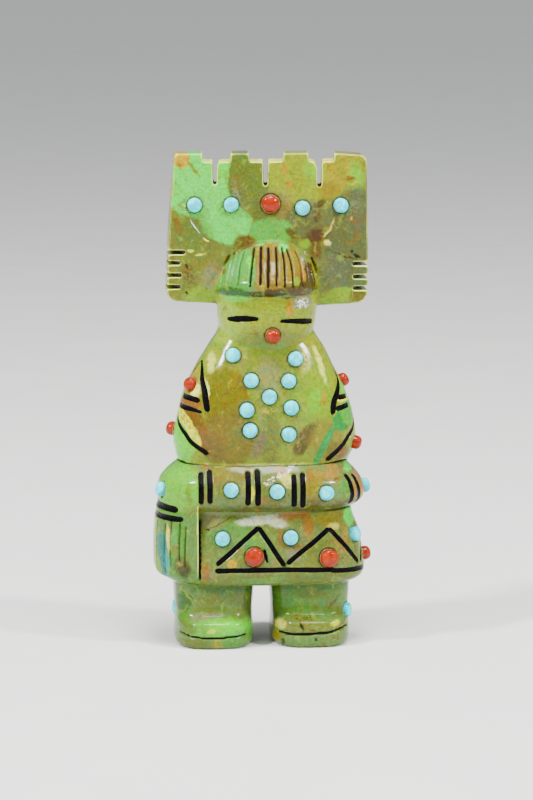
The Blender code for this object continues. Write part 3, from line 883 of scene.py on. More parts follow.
    def sink_path(self, places: np.ndarray, path: Path, depth: np.ndarray,
                  dirt_and_shade: np.ndarray) -> None:
        """Deepens the points that lie under one path, with steep walls and a flat floor.

        Args:
            places: the skin's points.
            path: the path to cut.
            depth: the depth of each point so far, which is changed.
            dirt_and_shade: how dark each point is painted so far, for grime and painted shade,
                which is changed.
        """
        margin = path.halves.max() * 1.6
        low, high = path.places.min(0) - margin, path.places.max(0) + margin
        near = np.flatnonzero(((places > low) & (places < high)).all(1))
        if not len(near):
            return
        best = np.full(len(near), np.inf)
        for i, (start, end) in enumerate(zip(path.places, path.places[1:])):
            step = end - start
            share = np.clip((places[near] - start) @ step / (step @ step), 0.0, 1.0)
            away = np.linalg.norm(places[near] - start - share[:, None] * step, axis=1)
            half = path.halves[i] + (path.halves[i + 1] - path.halves[i]) * share
            best = np.minimum(best, away / half)
        cut = 1 - rise(best, *self.groove_wall)
        depth[near] = np.maximum(depth[near], path.depth * cut)
        dirt_and_shade[near] = np.maximum(dirt_and_shade[near], path.dirt_and_shade * cut)

    def bulge(self, figure: Thing) -> np.ndarray:
        """Finds how far each point stands out from its neighbours.

        Args:
            figure: the figure.

        Returns:
            The distances, in units of the grain.
        """
        mesh = figure.data
        ends, places, facings = self.ends_of(mesh), points_of(mesh), facings_of(mesh)
        bulge = np.zeros(len(places))
        for near, far in ((0, 1), (1, 0)):
            lean = (places[ends[:, near]] - places[ends[:, far]]) * facings[ends[:, near]]
            bulge += np.bincount(ends[:, near], lean.sum(1), len(places))
        return bulge / self.grain

    def in_fringe(self, places: np.ndarray) -> np.ndarray:
        """Which points lie on the lower edge of the hair, which lies in shade and so gets little
        painted edge highlight.
        """
        low, high = self.fringe_span
        return (places[:, 2] > low) & (places[:, 2] < high) & (places[:, 1] < self.fringe_front)

    @staticmethod
    def ends_of(mesh: bpy.types.Mesh) -> np.ndarray:
        """The two points of each edge of a mesh.

        Args:
            mesh: the mesh.

        Returns:
            The points' numbers, one row for each edge.
        """
        ends = np.empty(len(mesh.edges) * 2, np.int32)
        mesh.edges.foreach_get("vertices", ends)
        return ends.reshape(-1, 2)

    @staticmethod
    def keep(figure: Thing, **values: np.ndarray) -> None:
        """Keeps values of each point as attributes, which the finish reads.

        Args:
            figure: the figure.
            **values: one value for each point, by the attribute's name.
        """
        for name, numbers in values.items():
            layer = figure.data.attributes.new(name, "FLOAT", "POINT")
            layer.data.foreach_set("value", numbers.astype(np.float32))

    def lighten(self, figure: Thing, depth: np.ndarray) -> None:
        """Thins the mesh evenly, but not at its lines and edges.

        Args:
            figure: the engraved figure.
            depth: how deep each point lies in a line.
        """
        mesh = figure.data
        guarded = (depth > self.guard_depth) | (np.abs(self.bulge(figure)) > self.guard_bulge)
        ends = self.ends_of(mesh)
        for _ in range(self.guard_rings):
            touched = guarded[ends].any(1)
            guarded[ends[touched].ravel()] = True
        LOG.info("guarded: %d of %d points", guarded.sum(), len(guarded))
        smooth = figure.vertex_groups.new(name="smooth")
        smooth.add(np.flatnonzero(~guarded).tolist(), 0.5, "REPLACE")
        triangles = 2 * len(mesh.polygons)
        work(figure, "DECIMATE", ratio=min(self.most_faces / triangles, 1.0),
             vertex_group=smooth.name, vertex_group_factor=self.thinning_evenness)
        figure.vertex_groups.clear()
        take(figure)
        bpy.ops.object.shade_smooth()


class Recipe:
    """A material's nodes, added one after another."""

    def __init__(self, name: str) -> None:
        """Starts a material.

        Args:
            name: the material's name.
        """
        self.material = bpy.data.materials.new(name)
        self.material.use_nodes = True
        self.tree = self.material.node_tree
        self.shader = self.tree.nodes["Principled BSDF"]

    def add(self, kind: str, inputs: dict[str | int, object], **settings: object) -> bpy.types.Node:
        """Adds a node.

        Args:
            kind: the node's type, without its ShaderNode prefix.
            inputs: what each input takes: a socket to link, or a value.
            **settings: the node's own values.

        Returns:
            The node.
        """
        node = self.tree.nodes.new("ShaderNode" + kind)
        for name, value in settings.items():
            setattr(node, name, value)
        for name, value in inputs.items():
            if isinstance(value, Socket):
                self.tree.links.new(value, node.inputs[name])
            else:
                node.inputs[name].default_value = value
        return node

    def place(self, shift: Vector) -> Socket:
        """The place on the piece in millimetres of the carving frame."""
        raw = self.add("TexCoord", {}).outputs["Object"]
        return self.vector("SUBTRACT", self.vector("SCALE", raw, 1 / MM), shift / MM)

    def sum(self, operation: str, *values: object) -> Socket:
        """The result of one sum on plain numbers."""
        return self.add("Math", dict(enumerate(values)), operation=operation).outputs[0]

    def vector(self, operation: str, *values: object) -> Socket:
        """The result of one sum on vectors, a vector or a plain number.

        Args:
            operation: the sum. SCALE takes its number second.
            *values: what it takes, as sockets or values.

        Returns:
            The output.
        """
        inputs = dict(enumerate(values))
        if operation == "SCALE":
            inputs[3] = inputs.pop(1)
        outputs = self.add("VectorMath", inputs, operation=operation).outputs
        return outputs["Value" if operation in ("LENGTH", "DOT_PRODUCT") else "Vector"]

    def noise(self, place: Socket, scale: float, detail: float = 3.0,
              rough: float = 0.5, distortion: float = 0.0) -> list[Socket]:
        """Adds a cloud pattern.

        Args:
            place: where the pattern is read.
            scale: its waves to a millimetre.
            detail: how many finer patterns it holds.
            rough: how strong they are.
            distortion: how far it is stirred.

        Returns:
            The clouds' strength, and their colour.
        """
        return list(self.add("TexNoise", {
            "Vector": place, "Scale": scale, "Detail": detail, "Roughness": rough,
            "Distortion": distortion}).outputs)

    def step(self, value: Socket, low: float, high: float,
             first: float = 0.0, last: float = 1.0) -> Socket:
        """Turns a value into a smooth step.

        Args:
            value: the value that is read.
            low: where the step starts.
            high: where it ends.
            first: what it gives up to there.
            last: what it gives from the end on.

        Returns:
            The output.
        """
        return self.add("MapRange", {
            "Value": value, "From Min": low, "From Max": high, "To Min": first, "To Max": last},
            interpolation_type="SMOOTHSTEP", clamp=False).outputs[0]

    def mix(self, share: object, under: object, over: object) -> Socket:
        """One colour over another, by a share."""
        return self.add("Mix", {0: share, 6: under, 7: over}, data_type="RGBA").outputs[2]

    def attribute(self, name: str) -> Socket:
        """A value kept on the mesh."""
        return self.add("Attribute", {}, attribute_name=name).outputs["Fac"]

    def bump(self, height: Socket, distance: float) -> Socket:
        """A fine relief of this height in metres."""
        return self.add("Bump", {"Distance": distance, "Height": height}).outputs[0]

    def feed(self, **inputs: object) -> bpy.types.Material:
        """Sets or links the shader's inputs.

        Args:
            **inputs: a value or a socket for each input, named with _ for a space.

        Returns:
            The finished material.
        """
        for name, value in inputs.items():
            target = self.shader.inputs[name.replace("_", " ")]
            if isinstance(value, Socket):
                self.tree.links.new(value, target)
            else:
                target.default_value = value
        return self.material


EMERALD = (0.058, 0.58, 0.045, 1.0)
LEAF = (0.1, 0.56, 0.003, 1.0)
MOSS = (0.05, 0.25, 0.03, 1.0)
JADE = (0.002, 0.218, 0.029, 1.0)
FOREST = (0.009, 0.074, 0.009, 1.0)
TEAL = (0.002, 0.14, 0.125, 1.0)
SKY = (0.002, 0.334, 0.37, 1.0)
LIME = (0.2, 0.25, 0.004, 1.0)
CHARTREUSE = (0.15, 0.27, 0.002, 1.0)
MUSTARD = (0.271, 0.221, 0.002, 1.0)
PALE_GREEN = (0.27, 0.4, 0.02, 1.0)
OLIVE = (0.08, 0.108, 0.012, 1.0)
DARK_OLIVE = (0.05, 0.043, 0.007, 1.0)
GREY_OLIVE = (0.07, 0.077, 0.024, 1.0)
SAGE = (0.112, 0.145, 0.03, 1.0)
KHAKI = (0.112, 0.12, 0.014, 1.0)
OCHRE = (0.19, 0.12, 0.004, 1.0)
BRONZE = (0.13, 0.098, 0.003, 1.0)
ORANGE = (0.46, 0.26, 0.001, 1.0)
AMBER = (0.388, 0.159, 0.002, 1.0)
RUST = (0.14, 0.048, 0.006, 1.0)
TERRACOTTA = (0.237, 0.07, 0.01, 1.0)
MAROON = (0.053, 0.013, 0.006, 1.0)
UMBER = (0.025, 0.011, 0.002, 1.0)
PITCH = (0.002, 0.002, 0.002, 1.0)
HAIR_BROWN = (0.17, 0.085, 0.008, 1.0)
CREAM = (0.9, 0.9, 0.168, 1.0)
IVORY = (0.9, 0.9, 0.9, 1.0)
PUTTY = (0.18, 0.165, 0.075, 1.0)
ASH = (0.528, 0.548, 0.384, 1.0)
TAN = (0.286, 0.128, 0.023, 1.0)
MAUVE = (0.129, 0.076, 0.046, 1.0)
YELLOW = (0.663, 0.663, 0.002, 1.0)
MID_GREEN = (0.065, 0.32, 0.025, 1.0)
BROWN = (0.083, 0.034, 0.006, 1.0)
SLATE = (0.068, 0.08, 0.042, 1.0)
STRAW = (0.44, 0.323, 0.002, 1.0)
SAND = (0.645, 0.583, 0.092, 1.0)
GRASS = (0.054, 0.198, 0.016, 1.0)
FERN = (0.08, 0.16, 0.03, 1.0)


@dataclass(frozen=True)
class Patch:
    """A ragged patch of colour in the stone, in millimetres across and up the carving."""

    colour: Colour
    x: float
    z: float
    half_width: float
    half_height: float
    soft: float = 0.14
    strength: float = 1.0
    turn: float = 0.0
    speckled: bool = False


@dataclass(frozen=True)
class Zone:
    """A part of the carving: its ground colour, its bounds and its patches, the last on top.

    A bound is an axis, where along it the zone has ended, and where it is whole.
    """

    ground: Colour
    bounds: tuple[tuple[str, float, float], ...]
    patches: tuple[Patch, ...]


HEADDRESS_ZONE = Zone(KHAKI, (("Y", -2.0, -1.5), ("Z", 54.6, 55.2)), (
    Patch(LIME, 5.0, 76.4, 6.2, 5.0),
    Patch(MUSTARD, 11.8, 76.8, 4.2, 4.6, 0.4, 0.8),
    Patch(LEAF, 14.6, 75.9, 1.3, 2.2, 0.5, 0.5),
    Patch(LEAF, 7.8, 77.2, 1.4, 1.6, 0.5, 0.4),
    Patch(OCHRE, 1.6, 70.9, 2.6, 2.4, 0.3, 0.85),
    Patch(OCHRE, 10.2, 74.0, 1.5, 1.3, 0.5, 0.8),
    Patch(GREY_OLIVE, 14.6, 65.6, 5.0, 8.6, 0.07),
    Patch(SLATE, 14.6, 71.2, 2.3, 3.4, 0.4, 0.8),
    Patch(GREY_OLIVE, 6.8, 68.9, 3.7, 3.4, 0.16),
    Patch(SLATE, 11.2, 60.0, 2.0, 3.6, 0.5, 0.8),
    Patch(EMERALD, -10.9, 74.9, 5.8, 5.4, 0.06),
    Patch(LEAF, -7.0, 77.6, 1.6, 2.2, 0.4, 0.7),
    Patch(EMERALD, -6.6, 69.6, 4.0, 4.6, 0.07, turn=-45),
    Patch(MID_GREEN, 0.8, 67.2, 3.4, 2.3, 0.14),
    Patch(OLIVE, -2.7, 75.4, 3.3, 5.0, 0.06),
    Patch(OLIVE, -1.0, 71.6, 2.9, 2.6, 0.2, 0.8),
    Patch(PUTTY, -4.1, 73.3, 1.0, 2.5, 0.3, turn=-20, speckled=True),
    Patch(UMBER, -3.6, 73.2, 0.5, 2.2, 0.3, 0.8, -20, speckled=True),
    Patch(OLIVE, -11.7, 66.8, 2.9, 2.6, 0.5, 0.8),
    Patch(RUST, -14.2, 68.2, 0.45, 1.5, 0.4, 0.8, -24),
    Patch(PUTTY, -8.6, 59.4, 1.7, 2.4, 0.5, 0.8),
    Patch(BROWN, -12.4, 59.7, 1.0, 2.2, 0.5, turn=-12, speckled=True),
    Patch(CHARTREUSE, -10.4, 57.0, 2.8, 1.5, 0.3),
    Patch(CHARTREUSE, 12.0, 56.6, 3.2, 1.2, 0.2, turn=-12),
    Patch(BROWN, 15.0, 56.6, 1.2, 1.3, 0.3),
    Patch(ORANGE, -14.2, 79.1, 1.9, 1.3, 0.1, turn=10),
    Patch(BRONZE, -11.7, 77.6, 0.25, 1.6, 0.3, 0.8, -36),
    Patch(AMBER, -15.4, 74.3, 0.45, 2.6, 0.4, 0.9),
    Patch(AMBER, 3.1, 77.4, 0.6, 0.7, 0.6, 0.8),
    Patch(AMBER, 3.7, 74.9, 0.65, 0.6, 0.6, 0.8),
    Patch(RUST, 13.7, 75.7, 0.9, 0.35, 0.6),
    Patch(BROWN, -3.5, 65.5, 1.6, 1.1, 0.3, turn=15),
    Patch(MAROON, 9.0, 71.8, 0.9, 0.4, 0.4, 0.9, -25),
    Patch(MAROON, 8.5, 69.6, 0.4, 1.1, 0.4, 0.9, 12),
    Patch(MAROON, 8.2, 66.4, 1.7, 1.2, 0.4, 0.95, -30),
    Patch(MAROON, 3.9, 66.9, 1.1, 0.6, 0.4, 0.9, 30),
    Patch(BROWN, 8.3, 64.1, 0.8, 1.5, 0.4, 0.9, -20),
    Patch(CHARTREUSE, 6.4, 65.2, 1.0, 0.7, 0.3),
    Patch(CREAM, -13.0, 70.9, 0.8, 0.1, 0.4, turn=72),
    Patch(IVORY, -11.4, 68.2, 0.08, 1.2, 0.5, 0.9, -42),
    Patch(CREAM, -9.6, 65.9, 0.4, 0.14, 0.4, turn=30),
    Patch(YELLOW, -12.2, 64.2, 0.5, 0.2, 0.5),
    Patch(YELLOW, -10.8, 63.4, 0.7, 0.16, 0.5),
    Patch(SAND, 10.0, 65.0, 0.6, 0.4, 0.4, turn=30),
    Patch(SAND, 10.1, 67.6, 0.16, 1.6, 0.5, 0.8, 30),
    Patch(UMBER, 12.4, 63.3, 2.2, 0.1, 0.5, turn=16),
    Patch(STRAW, 14.3, 75.0, 0.5, 0.14, 0.5, turn=-20),
    Patch(STRAW, 14.0, 69.0, 0.2, 0.34, 0.5),
    Patch(PITCH, 14.0, 64.0, 0.3, 0.34, 0.3),
    Patch(PITCH, 14.7, 63.2, 0.5, 0.24, 0.3, turn=30),
    Patch(PITCH, -12.9, 61.6, 0.2, 0.4, 0.4, turn=-30),
    Patch(PITCH, -12.9, 57.4, 0.22, 0.3, 0.4, turn=-30)))
HAIR_ZONE = Zone(SAGE, (("Y", -1.5, -1.9), ("Z", 56.9, 57.4)), (
    Patch(HAIR_BROWN, 1.3, 61.6, 4.6, 4.0, 0.08),
    Patch(MOSS, -5.2, 60.6, 2.7, 4.6, 0.08, turn=20),
    Patch(LEAF, -2.9, 62.6, 0.7, 1.0, 0.3, 0.8),
    Patch(OCHRE, 3.4, 61.8, 1.6, 3.4, 0.4, 0.7),
    Patch(OCHRE, 0.6, 65.2, 3.2, 0.9, 0.3, 0.8),
    Patch(EMERALD, -1.5, 65.4, 1.0, 0.6, 0.3),
    Patch(EMERALD, 2.7, 65.0, 0.8, 1.0, 0.3),
    Patch(MAROON, 6.9, 60.0, 1.7, 2.4, 0.12),
    Patch(CHARTREUSE, 4.7, 59.4, 0.55, 1.1, 0.15),
    Patch(AMBER, 5.8, 61.4, 0.35, 1.5, 0.3, turn=-8),
    Patch(LIME, 8.3, 60.0, 0.6, 3.4, 0.2, turn=-8),
    Patch(LIME, -7.9, 59.8, 0.55, 3.6, 0.2, turn=18),
    Patch(RUST, -6.9, 60.9, 0.3, 0.5, 0.4),
    # The band under the hair's tucked-under lip: green on the left and maroon on the right,
    # darkened as painted shade.
    Patch(FOREST, -5.2, 58.0, 2.6, 0.7, 0.2),
    Patch(UMBER, -0.2, 57.9, 3.4, 0.7, 0.2),
    Patch(UMBER, 5.2, 57.9, 3.0, 0.7, 0.2),
    Patch(MAROON, 4.9, 58.3, 3.6, 1.0, 0.3, 0.9)))
FACE_ZONE = Zone(LIME, (("Y", -0.9, -1.3), ("Z", 57.4, 57.1), ("Z", 48.3, 49.8)), (
    Patch(PALE_GREEN, -6.8, 52.6, 2.2, 4.5, 0.5, 0.8),
    Patch(EMERALD, -5.0, 57.0, 1.8, 0.7, 0.4, 0.8),
    Patch(KHAKI, 0.5, 50.0, 5.0, 1.8, 0.5, 0.7),
    Patch(PUTTY, 5.6, 56.2, 1.9, 1.1, 0.2),
    # Pale grains in a small pit beside an eye, partly painted glints.
    Patch(IVORY, 5.6, 56.0, 1.3, 0.8, 0.3, speckled=True),
    # Maroon stone just under the hair's lip, darkened partly as painted shade.
    Patch(MAROON, 3.2, 57.2, 1.5, 0.4, 0.3),
    Patch(AMBER, 3.4, 55.4, 0.6, 1.3, 0.4, 0.9)))
TORSO_ZONE = Zone(LIME, (("Y", 2.6, -0.4), ("Z", 29.7, 30.1), ("Z", 50.2, 48.6)), (
    Patch(BRONZE, -7.0, 41.0, 4.0, 5.0, 0.2),
    Patch(BRONZE, -6.6, 34.6, 4.6, 5.2, 0.2),
    Patch(RUST, -8.4, 34.0, 1.8, 3.4, 0.6, 0.5),
    Patch(OLIVE, 1.0, 46.6, 6.4, 2.6, 0.5, 0.7),
    Patch(PUTTY, 0.0, 44.0, 2.0, 3.2, 0.4, 0.6),
    Patch(CHARTREUSE, 6.6, 41.2, 3.8, 4.6, 0.5, 0.8),
    Patch(LEAF, 7.6, 40.4, 1.2, 1.8, 0.5, 0.4),
    Patch(GREY_OLIVE, 0.0, 35.0, 1.9, 4.6, 0.3, speckled=True),
    Patch(OLIVE, 0.3, 34.6, 1.8, 4.6, 0.4, 0.7),
    Patch(MAUVE, -1.5, 33.4, 0.9, 2.2, 0.4, 0.8, 20),
    Patch(SAND, 0.4, 39.1, 2.2, 0.4, 0.5, speckled=True),
    Patch(BROWN, 5.8, 34.2, 1.2, 2.8, 0.2, turn=28),
    Patch(UMBER, 6.6, 34.6, 0.8, 2.3, 0.5, turn=28, speckled=True),
    Patch(OCHRE, 9.6, 33.4, 2.8, 3.4, 0.4, 0.8),
    Patch(BRONZE, 11.2, 32.0, 1.9, 1.5, 0.4),
    Patch(RUST, 12.0, 31.4, 1.0, 1.0, 0.5),
    Patch(JADE, 9.0, 32.8, 0.75, 3.6, 0.2, turn=26),
    Patch(JADE, 12.0, 37.0, 1.5, 2.2, 0.16, turn=38),
    Patch(MID_GREEN, 13.4, 38.0, 1.6, 1.9, 0.2),
    Patch(LEAF, 12.6, 43.2, 0.9, 2.4, 0.3),
    Patch(YELLOW, 12.4, 40.1, 1.3, 0.4, 0.3),
    Patch(AMBER, 9.0, 40.4, 0.4, 1.1, 0.6, 0.8),
    # Pale streak on the shoulder: partly pale stone, partly a painted highlight.
    Patch(CREAM, 8.5, 46.2, 0.4, 2.8, 0.5, 0.6, -16),
    Patch(SAND, 6.0, 46.6, 0.9, 1.4, 0.6, 0.7),
    Patch(MUSTARD, -12.4, 43.4, 1.6, 2.4, 0.4, 0.8),
    # Pale patch on the other shoulder: partly pale stone, partly a painted highlight.
    Patch(CREAM, -9.0, 46.4, 0.5, 1.3, 0.6, 0.5, 12),
    Patch(CREAM, -9.9, 42.4, 0.4, 1.4, 0.4, 0.8, -8),
    Patch(CREAM, -11.7, 42.1, 0.7, 1.0, 0.4),
    Patch(TERRACOTTA, -12.4, 39.6, 1.8, 1.2, 0.3),
    Patch(RUST, -11.8, 37.0, 1.3, 2.5, 0.2, turn=-22),
    Patch(RUST, -10.3, 34.0, 1.0, 2.4, 0.3, turn=-10),
    Patch(LEAF, -14.4, 33.6, 2.5, 4.8, 0.1, 0.85),
    Patch(YELLOW, -12.9, 36.2, 0.8, 3.5, 0.14, turn=-30),
    Patch(LEAF, -15.6, 33.0, 2.3, 5.0, 0.1, turn=-16),
    Patch(RUST, -6.7, 41.8, 0.5, 0.35, 0.5, turn=-30),
    Patch(RUST, -7.0, 39.6, 0.4, 0.5, 0.5, 0.8),
    Patch(BROWN, -4.8, 46.7, 1.3, 0.7, 0.5, speckled=True)))
BELT_ZONE = Zone(SAGE, (("Y", 2.6, -0.4), ("Z", 22.2, 22.6), ("Z", 30.2, 29.9)), (
    Patch(BRONZE, -6.2, 28.9, 3.6, 1.9, 0.3, 0.9),
    Patch(OLIVE, 1.2, 27.0, 3.0, 3.4, 0.4, 0.8),
    Patch(RUST, -8.6, 28.0, 0.4, 0.5, 0.4, 0.8),
    Patch(LEAF, -15.2, 26.6, 4.0, 4.4, 0.2, 0.6),
    Patch(BRONZE, -13.0, 25.2, 0.5, 1.7, 0.5, 0.6),
    Patch(TERRACOTTA, -10.1, 30.0, 0.7, 0.4, 0.4, 0.9),
    Patch(YELLOW, -2.85, 25.6, 0.35, 1.0, 0.5, 0.9),
    Patch(SAND, 2.6, 28.2, 2.0, 1.0, 0.2, 0.8, 62),
    Patch(IVORY, 1.9, 28.8, 0.35, 2.0, 0.5, turn=62, speckled=True),
    Patch(IVORY, -0.2, 27.2, 0.8, 0.5, 0.3, speckled=True),
    Patch(TERRACOTTA, 2.0, 29.4, 1.0, 0.5, 0.4),
    Patch(TERRACOTTA, -0.9, 24.6, 0.4, 0.4, 0.5),
    Patch(OCHRE, 7.4, 26.6, 1.7, 2.4, 0.4, 0.9),
    Patch(TERRACOTTA, 6.4, 28.4, 0.5, 1.2, 0.4, 0.8),
    Patch(TAN, 10.4, 28.7, 2.6, 0.9, 0.4, 0.7, 80),
    Patch(TAN, 9.0, 28.4, 1.9, 0.4, 0.4, 0.8, 12),
    Patch(MOSS, 12.0, 25.9, 1.7, 1.6, 0.3, 0.7),
    Patch(RUST, 10.9, 27.5, 0.45, 0.35, 0.4),
    Patch(BROWN, 7.0, 23.9, 1.9, 0.9, 0.5, 0.8),
    Patch(BROWN, 12.0, 23.5, 2.6, 0.7, 0.5, 0.9),
    Patch(TAN, 15.4, 26.3, 1.7, 2.8, 0.3),
    Patch(EMERALD, 13.2, 29.1, 0.9, 0.7, 0.3),
    # Painted shade along the belt's lower edge.
    Patch(DARK_OLIVE, 2.0, 23.1, 13.0, 0.8, 0.6, 0.9)))
SKIRT_ZONE = Zone(SAGE, (
    ("Y", 2.6, -0.4), ("Z", 9.9, 10.3), ("Z", 22.7, 22.4), ("X", -11.4, -11.2)), (
    Patch(MOSS, -5.6, 18.6, 4.0, 2.6, 0.5, 0.6),
    Patch(MOSS, -1.6, 16.4, 2.4, 2.4, 0.5, 0.5),
    Patch(PUTTY, -9.4, 21.2, 2.0, 1.6, 0.4, 0.8),
    Patch(BROWN, -7.7, 20.9, 0.1, 2.5, 0.6, 0.9, 62),
    Patch(PITCH, -9.8, 19.7, 0.35, 0.12, 0.4),
    # Grey-white streaks along the skirt's top, partly pale stone and partly a painted highlight.
    Patch(ASH, -1.3, 21.3, 4.0, 0.75, 0.25, 0.9, -4),
    Patch(ASH, 1.6, 20.6, 1.4, 0.6, 0.4, 0.8),
    Patch(TERRACOTTA, 4.0, 21.9, 2.8, 0.8, 0.3, 0.8),
    Patch(TERRACOTTA, 6.2, 20.2, 0.9, 1.8, 0.3, 0.8),
    Patch(TERRACOTTA, 1.9, 18.5, 0.6, 1.4, 0.4, 0.7),
    Patch(OCHRE, 9.9, 21.2, 2.6, 1.3, 0.5, 0.6),
    Patch(SAND, 10.4, 20.0, 1.0, 0.5, 0.5, 0.7),
    Patch(EMERALD, 13.4, 21.0, 1.0, 1.6, 0.2),
    Patch(OLIVE, 9.4, 16.0, 3.4, 2.2, 0.4, 0.7),
    Patch(PUTTY, 3.8, 15.8, 1.3, 0.9, 0.3, turn=40),
    Patch(RUST, 3.7, 17.0, 1.4, 0.4, 0.5, 0.7),
    Patch(TAN, 12.4, 17.6, 0.5, 2.4, 0.4, 0.8),
    Patch(TAN, 11.4, 16.6, 0.3, 1.6, 0.5, 0.7, -30),
    Patch(ORANGE, -5.9, 14.1, 0.9, 0.7, 0.25, 0.8),
    Patch(OCHRE, 0.9, 14.4, 0.7, 0.9, 0.5, 0.8),
    Patch(OCHRE, -4.9, 16.3, 0.5, 0.7, 0.5, 0.7),
    Patch(TERRACOTTA, -10.4, 12.6, 0.8, 1.6, 0.4, 0.8),
    Patch(PUTTY, -9.2, 12.0, 0.5, 0.8, 0.5, 0.9),
    # Painted shade along the hem's rounded underside.
    Patch(OLIVE, 2.0, 11.6, 12.0, 0.9, 0.4, 0.8),
    Patch(MOSS, -1.0, 11.4, 4.0, 0.6, 0.5, 0.6)))
SASH_ZONE = Zone(GRASS, (("Z", 10.4, 10.8), ("Z", 22.7, 22.2), ("X", -11.1, -11.3)), (
    Patch(FERN, -12.4, 16.6, 1.0, 5.6, 0.4, 0.8),
    Patch(CHARTREUSE, -18.2, 17.0, 0.7, 5.0, 0.3, 0.8),
    Patch(FERN, -16.6, 19.8, 1.5, 1.2, 0.4, 0.9),
    Patch(MOSS, -15.2, 18.2, 0.5, 1.8, 0.2),
    Patch(SAND, -16.2, 18.0, 0.35, 2.2, 0.4),
    Patch(TEAL, -17.1, 15.4, 0.8, 3.6, 0.15, turn=-4),
    Patch(SKY, -16.4, 13.8, 0.3, 2.3, 0.2, 0.6, -4),
    Patch(CHARTREUSE, -17.9, 13.0, 0.55, 2.4, 0.2, turn=-10),
    Patch(KHAKI, -15.0, 16.2, 0.7, 0.9, 0.4),
    Patch(UMBER, -14.1, 13.2, 1.15, 1.7, 0.3, 0.9, -14),
    Patch(PUTTY, -14.4, 13.6, 0.9, 1.2, 0.3, 0.6, speckled=True),
    Patch(PITCH, -14.0, 12.9, 0.8, 1.1, 0.4, 0.8, speckled=True)))
LEG_ZONE = Zone(FERN, (("Y", 3.4, 0.4), ("Z", 10.6, 10.2)), (
    Patch(OLIVE, -9.0, 7.2, 2.4, 1.2, 0.5, 0.8),
    Patch(GRASS, -13.6, 5.2, 1.2, 1.4, 0.5, 0.8),
    Patch(FOREST, -13.9, 7.4, 1.5, 1.5, 0.12, turn=20),
    Patch(LIME, -13.4, 8.5, 0.14, 1.6, 0.5, 0.9, -40),
    Patch(PUTTY, -9.9, 5.2, 2.8, 0.9, 0.4, 0.7),
    Patch(SAGE, -4.6, 6.7, 1.6, 2.4, 0.5, 0.8),
    Patch(MID_GREEN, -8.0, 3.3, 6.0, 1.5, 0.25),
    Patch(LEAF, -6.6, 3.6, 3.4, 1.0, 0.5, 0.8),
    Patch(OLIVE, -13.4, 3.4, 1.5, 1.0, 0.5, 0.8),
    Patch(YELLOW, -9.5, 2.8, 0.7, 0.4, 0.5, 0.7),
    Patch(OLIVE, -12.4, 0.9, 2.8, 0.9, 0.4, 0.9),
    Patch(MUSTARD, -8.3, 0.8, 0.9, 0.7, 0.5, 0.8),
    Patch(GRASS, -5.2, 1.0, 2.6, 0.8, 0.4, 0.7),
    Patch(GRASS, 4.6, 7.2, 3.6, 1.9, 0.5, 0.8),
    Patch(OLIVE, 7.8, 8.4, 3.4, 0.8, 0.5, 0.8),
    Patch(BROWN, 10.7, 7.1, 0.16, 1.5, 0.5, 0.9, 42),
    Patch(OLIVE, 11.0, 5.6, 1.8, 0.9, 0.5, 0.7),
    Patch(KHAKI, 6.6, 3.5, 5.2, 1.1, 0.4, 0.8),
    Patch(SAND, 2.1, 3.7, 0.8, 0.8, 0.4, 0.8),
    Patch(YELLOW, 10.8, 3.8, 0.8, 0.5, 0.4, 0.7),
    Patch(BRONZE, 12.3, 3.4, 0.3, 1.0, 0.5, 0.9, 30),
    Patch(FERN, 7.0, 1.0, 5.0, 0.9, 0.4, 0.8),
    Patch(OCHRE, 1.6, 1.5, 0.8, 0.9, 0.5, 0.8),
    Patch(UMBER, 7.0, 4.7, 1.3, 0.25, 0.5, turn=-8, speckled=True),
    Patch(UMBER, 4.8, 4.6, 0.5, 0.35, 0.5, speckled=True),
    Patch(PITCH, 5.4, 3.5, 0.22, 0.7, 0.4, turn=-20),
    Patch(PITCH, 7.1, 3.1, 0.5, 0.15, 0.4),
    Patch(PITCH, 2.4, 0.9, 0.24, 0.6, 0.4),
    Patch(PITCH, 7.5, 1.5, 0.2, 0.2, 0.4),
    Patch(UMBER, 11.0, 1.4, 0.5, 0.4, 0.4, speckled=True),
    # Painted shade at the tops of the legs, under the skirt's hem.
    Patch(FOREST, 0, 9.7, 15.0, 0.8, 0.7, 0.8)))


